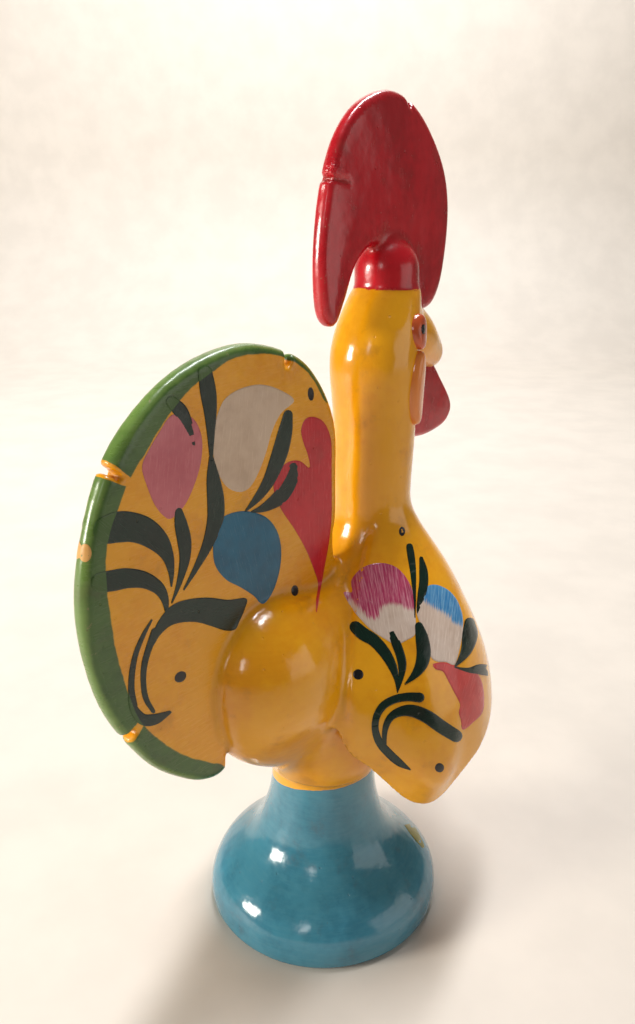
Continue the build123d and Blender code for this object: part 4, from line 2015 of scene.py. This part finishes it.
@dataclass
class Effects:
    """The node groups that the finishes share, each built once."""

    streaks: Tree = field(default_factory=brush_streaks)
    depth: Tree = field(default_factory=coat_depth)
    line: Tree = field(default_factory=hand_line)
    wear: Tree = field(default_factory=handling_wear)
    stains_and_shade: Tree = field(default_factory=stains_and_crease_shade)
    relief: Tree = field(default_factory=hand_relief)
    clay: Tree = field(default_factory=bare_clay)

    def within(self, board: Board, distance: Value, place: Socket, **look: float) -> Socket:
        """Where a coat lies, up to a line drawn by hand; look holds its Waver and Softness."""
        return board.use(self.line, Distance=distance, Place=place, **look)["Mask"]

    def paint(self, board: Board, pot: Pot, place: Socket, streak: Socket) -> Socket:
        """Mix the colour of one paint.

        Args:
            board: The board.
            pot: The paint.
            place: Where the surface is.
            streak: How far a brush ridge stands up there.

        Returns:
            The colour, where the paint lies deep or thin.
        """
        coats = {"Body": pot.value.body, "Deep": pot.value.deep, "Thin": pot.value.thin}
        coats = {name: linear(colour) for name, colour in coats.items()}
        return board.use(self.depth, Place=place, Streak=streak, **coats)["Colour"]


# Finishes

class Run(Enum):
    """Which way the brush went over a piece: how slowly its streaks change along each axis."""

    UPRIGHT = (1.1, 1.1, 0.045)
    ROUND = (0.10, 0.10, 1.0)
    FAN = (0.10, 0.10, 0.75)
    PLATE = (0.35, 0.35, 0.10)


@dataclass(frozen=True)
class Enamel:
    """Gloss enamel brushed over fired clay."""

    name: str
    own: Pot
    neighbour: Optional[Pot] = None
    run: Run = Run.ROUND
    roughness: float = 0.15
    coat: float = 0.35
    stains_and_shade: float = 0.6
    wear: float = 0.6
    relief: float = 1.0
    bare: bool = False
    crumpled: bool = False
    coat_roughness: float = 0.09
    stain_and_shade_colour: tuple = (92, 62, 34)
    stain_and_shade_cover: float = 0.8
    chip_depth: float = 0.12
    fold_scale: float = 0.3
    fold_height: float = 2.6
    streak_rough: float = 0.03
    rub_rough: float = 0.16
    stain_and_shade_rough: float = 0.25
    chip_rough: float = 0.55

    def colour(self, board: Board, effects: Effects, place: Socket, streak: Socket) -> Socket:
        """Mix the colour of the whole painted surface.

        Args:
            board: The material's board.
            effects: The shared groups.
            place: Where the surface is.
            streak: The brush's streaks.

        Returns:
            The colour.
        """
        own = effects.paint(board, self.own, place, streak)
        if self.neighbour is None:
            return own
        other = effects.paint(board, self.neighbour, place, streak)
        return board.mix(effects.within(board, board.zone("coat"), place, Waver=0.9), other, own)

    def build(self, effects: Effects) -> Material:
        """Make the material.

        Args:
            effects: The shared groups.

        Returns:
            The material.
        """
        material, board, inputs = new_material(self.name)
        place, edge = board.place(), board.zone("edge")
        streaks = board.use(effects.streaks, Place=board.stretched(place, self.run.value), Fineness=1.0)
        stains_and_shade = board.use(effects.stains_and_shade, Edge=edge, Place=place, Amount=self.stains_and_shade)["StainsAndShade"]
        worn = board.use(effects.wear, Edge=edge, Place=place, Amount=self.wear)
        relief = board.use(effects.relief, Place=place, Strength=self.relief)["Height"]
        clay = board.use(effects.clay, Place=place)
        colour = self.colour(board, effects, place, streaks["Streak"])
        # Stains, specks and painted shade in the creases darken the colour.
        colour = board.mix(board.times(stains_and_shade, self.stain_and_shade_cover), colour, linear(self.stain_and_shade_colour))
        chip = worn["Chip"]
        if self.bare:
            lost = effects.within(board, board.zone("bare"), place, Waver=2.4, Softness=0.1)
            chip = board.math("MAXIMUM", chip, lost)
        height = board.minus(board.plus(relief, streaks["Height"]), board.times(chip, self.chip_depth))
        height = board.times_plus(chip, clay["Height"], height)
        if self.crumpled:
            folds = board.times(board.noise(place, self.fold_scale, detail=3.0, rough=0.6), self.fold_height)
            height = board.times_plus(board.zone("crumple"), folds, height)
        rough = board.rise(streaks["Streak"], 0.0, 1.0, self.roughness, self.roughness + self.streak_rough)
        rough = board.times_plus(worn["Rub"], self.rub_rough, rough)
        rough = board.times_plus(stains_and_shade, self.stain_and_shade_rough, rough)
        rough = board.times_plus(chip, self.chip_rough, rough, clamp=True)
        board.surface(inputs, board.mix(chip, colour, clay["Colour"]), rough, height)
        board.feed(inputs["Coat Weight"], board.times(board.minus(1.0, chip), self.coat))
        inputs["Coat Roughness"].default_value = self.coat_roughness
        return material


@dataclass(frozen=True)
class FanEnamel(Enamel):
    """The fan's yellow, with its green band, a lighter green along the rim as a painted highlight, and the
    yellow cuts.
    """

    highlight_strip: float = 1.3

    def colour(self, board: Board, effects: Effects, place: Socket, streak: Socket) -> Socket:
        """Mix the colour of the fan.

        Args:
            board: The material's board.
            effects: The shared groups.
            place: Where the surface is.
            streak: The brush's streaks.

        Returns:
            The colour.
        """
        yellow, green, highlight_green = (effects.paint(board, pot, place, streak)
                               for pot in (Pot.YELLOW, Pot.BAND_GREEN, Pot.RIM_HIGHLIGHT_GREEN))
        # Painted highlight: a lighter green along the fan's rim stands for light falling on it.
        strip = board.minus(self.highlight_strip, board.zone("inset"))
        rim_highlight = effects.within(board, strip, place, Waver=1.2, Softness=0.5)
        band = effects.within(board, board.zone("band"), place, Waver=0.9, Softness=0.22)
        cut = effects.within(board, board.zone("cut"), place, Waver=1.0)
        band = board.times(band, board.minus(1.0, cut))
        return board.mix(band, yellow, board.mix(rim_highlight, green, highlight_green))


@dataclass(frozen=True)
class BrushPaint:
    """Enamel laid in one pull or fill of a small brush, on top of the coat."""

    name: str
    own: Pot
    wash: Optional[Pot] = None
    veil: Optional[Pot] = None
    roughness: float = 0.22
    streak_strength: float = 1.0
    across_scale: float = 1.5
    along_scale: float = 0.07
    hair_scale: float = 1.6
    hair_reach: float = 7.0
    wash_edge: tuple = (-0.9, 1.3)
    veil_edge: tuple = (-0.1, 0.25)
    veil_cover: float = 0.84
    stains_and_shade: float = 0.35
    stain_and_shade_cover: float = 0.6
    stain_and_shade_colour: tuple = (92, 66, 44)
    rim_width: float = 0.5
    rim_height: float = 0.10
    streak_rough: float = 0.06
    bump_strength: float = 0.9
    coat: float = 0.08
    coat_roughness: float = 0.1

    def build(self, effects: Effects) -> Material:
        """Make the material.

        Args:
            effects: The shared groups.

        Returns:
            The material.
        """
        material, board, inputs = new_material(self.name)
        place = board.place()
        along, across, inside = (board.zone(name) for name in ("along", "across", "inside"))
        scaled = {"X": board.times(across, self.across_scale), "Y": board.times(along, self.along_scale)}
        pulled = board.add("ShaderNodeCombineXYZ", scaled).outputs[0]
        streaks = board.use(effects.streaks, Place=pulled, Fineness=1.0)
        streak = board.times(streaks["Streak"], self.streak_strength)
        colour = effects.paint(board, self.own, place, streak)
        if self.wash is not None:
            hairs = board.minus(board.noise(pulled, self.hair_scale, detail=3.0, rough=0.6), 0.5)
            reach = board.times_plus(hairs, self.hair_reach, board.zone("wash"))
            over = effects.paint(board, self.wash, place, streak)
            colour = board.mix(board.rise(reach, *self.wash_edge), colour, over)
        if self.veil is not None:
            covered = board.times(board.rise(board.zone("band"), *self.veil_edge), self.veil_cover)
            colour = board.mix(covered, colour, linear(self.veil.value.body))
        # Stains and specks only: with Edge at 0, no painted crease shade is laid on the motifs.
        stains_and_shade = board.use(effects.stains_and_shade, Edge=0.0, Place=place, Amount=self.stains_and_shade)["StainsAndShade"]
        colour = board.mix(board.times(stains_and_shade, self.stain_and_shade_cover), colour, linear(self.stain_and_shade_colour))
        relief = board.use(effects.relief, Place=place, Strength=1.0)["Height"]
        height = board.plus(streaks["Height"], board.rise(inside, 0.0, self.rim_width, 0.0, self.rim_height))
        rough = board.rise(streaks["Streak"], 0.0, 1.0, self.roughness, self.roughness + self.streak_rough)
        board.surface(inputs, colour, rough, board.plus(height, relief), self.bump_strength)
        inputs["Coat Weight"].default_value = self.coat
        inputs["Coat Roughness"].default_value = self.coat_roughness
        return material


@dataclass
class Painter:
    """Coats the clay and lays the motifs on it."""

    clay: Clay
    small: SmallPieces
    tail: TailMotifs = field(default_factory=TailMotifs)
    wing: WingMotifs = field(default_factory=WingMotifs)
    foot: FootMotifs = field(default_factory=FootMotifs)
    pupil: Dot = Dot((423.4, 329.2), (2.1, 5.0))
    coats: tuple = (
        (("foot",), Slot.BLUE, Enamel("blue_over_clay", Pot.BLUE, Pot.YELLOW, Run.ROUND, bare=True)),
        (("body",), Slot.YELLOW, Enamel("yellow_over_blue", Pot.YELLOW, Pot.BLUE, Run.ROUND)),
        (("breast_and_neck", "beak"), Slot.YELLOW, Enamel("yellow_neck", Pot.YELLOW, Pot.RED, Run.UPRIGHT)),
        (("right_wing",), Slot.YELLOW, Enamel("yellow_wing", Pot.YELLOW, run=Run.ROUND, bare=True)),
        (("left_wing",), Slot.YELLOW, Enamel("yellow_far_wing", Pot.YELLOW, run=Run.ROUND)),
        (("tail",), Slot.YELLOW, FanEnamel("yellow_fan", Pot.YELLOW, run=Run.FAN, roughness=0.26, coat=0.2)),
        (("comb", "comb_stem"), Slot.RED,
         Enamel("red_comb", Pot.RED, Pot.YELLOW, Run.PLATE, roughness=0.24, crumpled=True)),
        (("wattle",), Slot.RED, Enamel("red_wattle", Pot.RED, run=Run.PLATE, roughness=0.24)),
        (("right_eye", "left_eye"), Slot.ORANGE, Enamel("orange_eye", Pot.EYE_ORANGE, run=Run.PLATE)),
        (("right_ear_lobe", "left_ear_lobe"), Slot.ORANGE,
         Enamel("orange_lobe", Pot.LOBE_ORANGE, run=Run.UPRIGHT)),
    )

    def coat(self, pieces: dict[str, Object], effects: Effects) -> None:
        """Give every clay piece its coat.

        Args:
            pieces: The pieces by node name.
            effects: The shared groups.
        """
        for nodes, slot, enamel in self.coats:
            material = enamel.build(effects)
            for node in nodes:
                pieces[node].data.materials.append(material)

    def motifs(self) -> list[tuple]:
        """List the layers of motifs.

        Returns:
            For each its name, its motifs, how many layers lie under it and its paint.
        """
        black = BrushPaint("black_paint", Pot.BLACK, streak_strength=0.3)
        leaf = BrushPaint("leaf_paint", Pot.LEAF_GREEN, veil=Pot.BAND_GREEN)
        wing_leaf = BrushPaint("wing_leaf_paint", Pot.LEAF_GREEN)
        magenta = BrushPaint("magenta_wash", Pot.WHITE, Pot.MAGENTA, streak_strength=5.0)
        blue = BrushPaint("blue_wash", Pot.WHITE, Pot.SKY, streak_strength=4.0)
        tail, wing = self.tail, self.wing
        return [
            ("tail_pink_petal", tail.pink_petals, 0, BrushPaint("pink_paint", Pot.PINK)),
            ("tail_pale_petal", tail.pale_petals, 0, BrushPaint("pale_paint", Pot.PALE)),
            ("tail_heart", tail.hearts, 0, BrushPaint("heart_paint", Pot.HEART)),
            ("tail_blue_drop", tail.drops, 0, BrushPaint("drop_paint", Pot.DROP)),
            ("tail_leaves", tail.leaves, 1, leaf),
            ("tail_dots", tail.dots, 0, black),
            ("tail_worn_spots", tail.worn_spots, 0, BrushPaint("ochre_spot", Pot.OCHRE, roughness=0.4)),
            ("wing_magenta_petal", wing.magenta_petals, 0, magenta),
            ("wing_blue_petal", wing.blue_petals, 0, blue),
            ("wing_rose_petal", wing.rose_petals, 0, BrushPaint("rose_paint", Pot.ROSE)),
            ("wing_leaves", wing.leaves, 1, wing_leaf),
            ("wing_dots", wing.dots, 0, black),
            ("foot_leg_stripe", self.foot.legs, 0, BrushPaint("olive_paint", Pot.OLIVE, roughness=0.3)),
        ]

    def decorate(self, effects: Effects) -> None:
        """Lay every motif on both sides.

        Args:
            effects: The shared groups.
        """
        layer = PaintLayer(self.clay.joined, self.clay.view)
        for name, motifs, level, paint in self.motifs():
            material = paint.build(effects)
            for piece in layer.lay(name, motifs, level, self.band if motifs is self.tail.leaves else None):
                piece.data.materials.append(material)
        eye = PaintLayer(self.small.eyes[0].distance, self.clay.view, rim_px=0.9, grain_px=1.6)
        pupil = BrushPaint("pupil_paint", Pot.BLACK, roughness=0.14, streak_strength=0.2).build(effects)
        for piece in eye.lay("pupil", (self.pupil,), 0):
            piece.data.materials.append(pupil)

    def band(self, p: Points) -> dict[str, np.ndarray]:
        """How far points lie past the inner edge of the fan's green band."""
        return {"band": self.clay.tail.zones(p)["band"]}


# The studio

@dataclass(frozen=True)
class SoftLight:
    """A lamp that faces the object; its place is right of, beyond and above it, as the camera sees it."""

    name: str
    place: tuple
    size: tuple
    power: float
    colour: tuple = (1.0, 1.0, 1.0)
    aim: tuple = (0.0, 0.0, 0.14)

    def build(self, turn: Matrix) -> None:
        """Hang the lamp.

        Args:
            turn: The turn from the camera's side to the frame's axes.
        """
        data = bpy.data.lights.new(self.name, "AREA")
        data.shape, data.energy, data.color = "RECTANGLE", self.power, self.colour
        data.size, data.size_y = self.size
        lamp = placed(self.name, data)
        lamp.location = turn @ Vector(self.place)
        lamp.rotation_euler = (Vector(self.aim) - lamp.location).to_track_quat("-Z", "Y").to_euler()


@dataclass(frozen=True)
class Studio:
    """A pale floor that curves up into a pale wall, with warm light from the picture's left."""

    floor_colour: tuple = (0.69, 0.625, 0.55)
    cloud_share: float = 0.93
    floor_roughness: float = 0.6
    wall_distance: float = 1.1
    bend_radius: float = 0.35
    bend_steps: int = 8
    width: float = 4.0
    depth: float = 2.0
    height: float = 2.2
    world_colour: tuple = (1.0, 0.93, 0.86)
    world_strength: float = 0.14
    lights: tuple = (
        SoftLight("low_sun", (-1.12, -0.36, 0.38), (0.3, 0.3), 13.0, (1.0, 0.96, 0.86)),
        SoftLight("small_window", (-0.34, -0.80, 0.50), (0.10, 0.24), 0.5, (1.0, 0.99, 0.97)),
        SoftLight("bright_table", (0.9, -0.3, 0.25), (0.8, 0.5), 1.4, (1.0, 0.93, 0.88)),
        SoftLight("wall_wash", (0.2, 0.5, 1.5), (1.2, 0.3), 42.0, (0.95, 0.97, 1.0), (0.2, 1.3, 0.5)),
    )

    def build(self) -> None:
        """Make the floor, the light and the world."""
        run = [(-self.depth, 0.0), (self.wall_distance, 0.0)]
        for step in range(1, self.bend_steps + 1):
            turn = step / self.bend_steps * math.pi / 2
            run.append((self.wall_distance + self.bend_radius * math.sin(turn),
                        self.bend_radius * (1 - math.cos(turn))))
        run.append((run[-1][0], self.height))
        points = [(side * self.width / 2, y, z) for y, z in run for side in (-1, 1)]
        faces = [(2 * i, 2 * i + 1, 2 * i + 3, 2 * i + 2) for i in range(len(run) - 1)]
        mesh = bpy.data.meshes.new("studio_floor")
        mesh.from_pydata(points, [], faces)
        mesh.shade_smooth()
        floor = placed("studio_floor", mesh)
        floor.rotation_euler.z = math.radians(Viewpoint.azimuth)
        mesh.materials.append(self.plaster())
        for light in self.lights:
            light.build(Matrix.Rotation(math.radians(Viewpoint.azimuth), 3, "Z"))
        world = bpy.data.worlds.new("soft_room")
        world.use_nodes = True
        sky = world.node_tree.nodes["Background"]
        sky.inputs["Color"].default_value = (*self.world_colour, 1)
        sky.inputs["Strength"].default_value = self.world_strength
        bpy.context.scene.world = world
        bpy.context.scene.view_settings.view_transform = "Standard"

    def plaster(self) -> Material:
        """Make the pale, faintly mottled surface of floor and wall.

        Returns:
            The material.
        """
        material, board, inputs = new_material("pale_plaster")
        clouds = board.noise(board.place(), 0.02, detail=4.0, rough=0.55)
        darker = tuple(self.cloud_share * part for part in self.floor_colour)
        colour = board.mix(board.rise(clouds, 0.3, 0.7), (*darker, 1), (*self.floor_colour, 1))
        board.feed(inputs["Base Color"], colour)
        inputs["Roughness"].default_value = self.floor_roughness
        return material


def main() -> None:
    """Build the pieces in order, paint them and set the stage."""
    Viewpoint().build()
    Studio().build()
    clay = Clay()
    small = SmallPieces()
    pieces = {**clay.build(), **small.build()}
    effects = Effects()
    painter = Painter(clay, small)
    painter.coat(pieces, effects)
    painter.decorate(effects)
    log.info("%d clay pieces are painted", len(pieces))


if __name__ == "__main__":
    logging.basicConfig(level=logging.INFO, format="%(name)s: %(message)s")
    main()
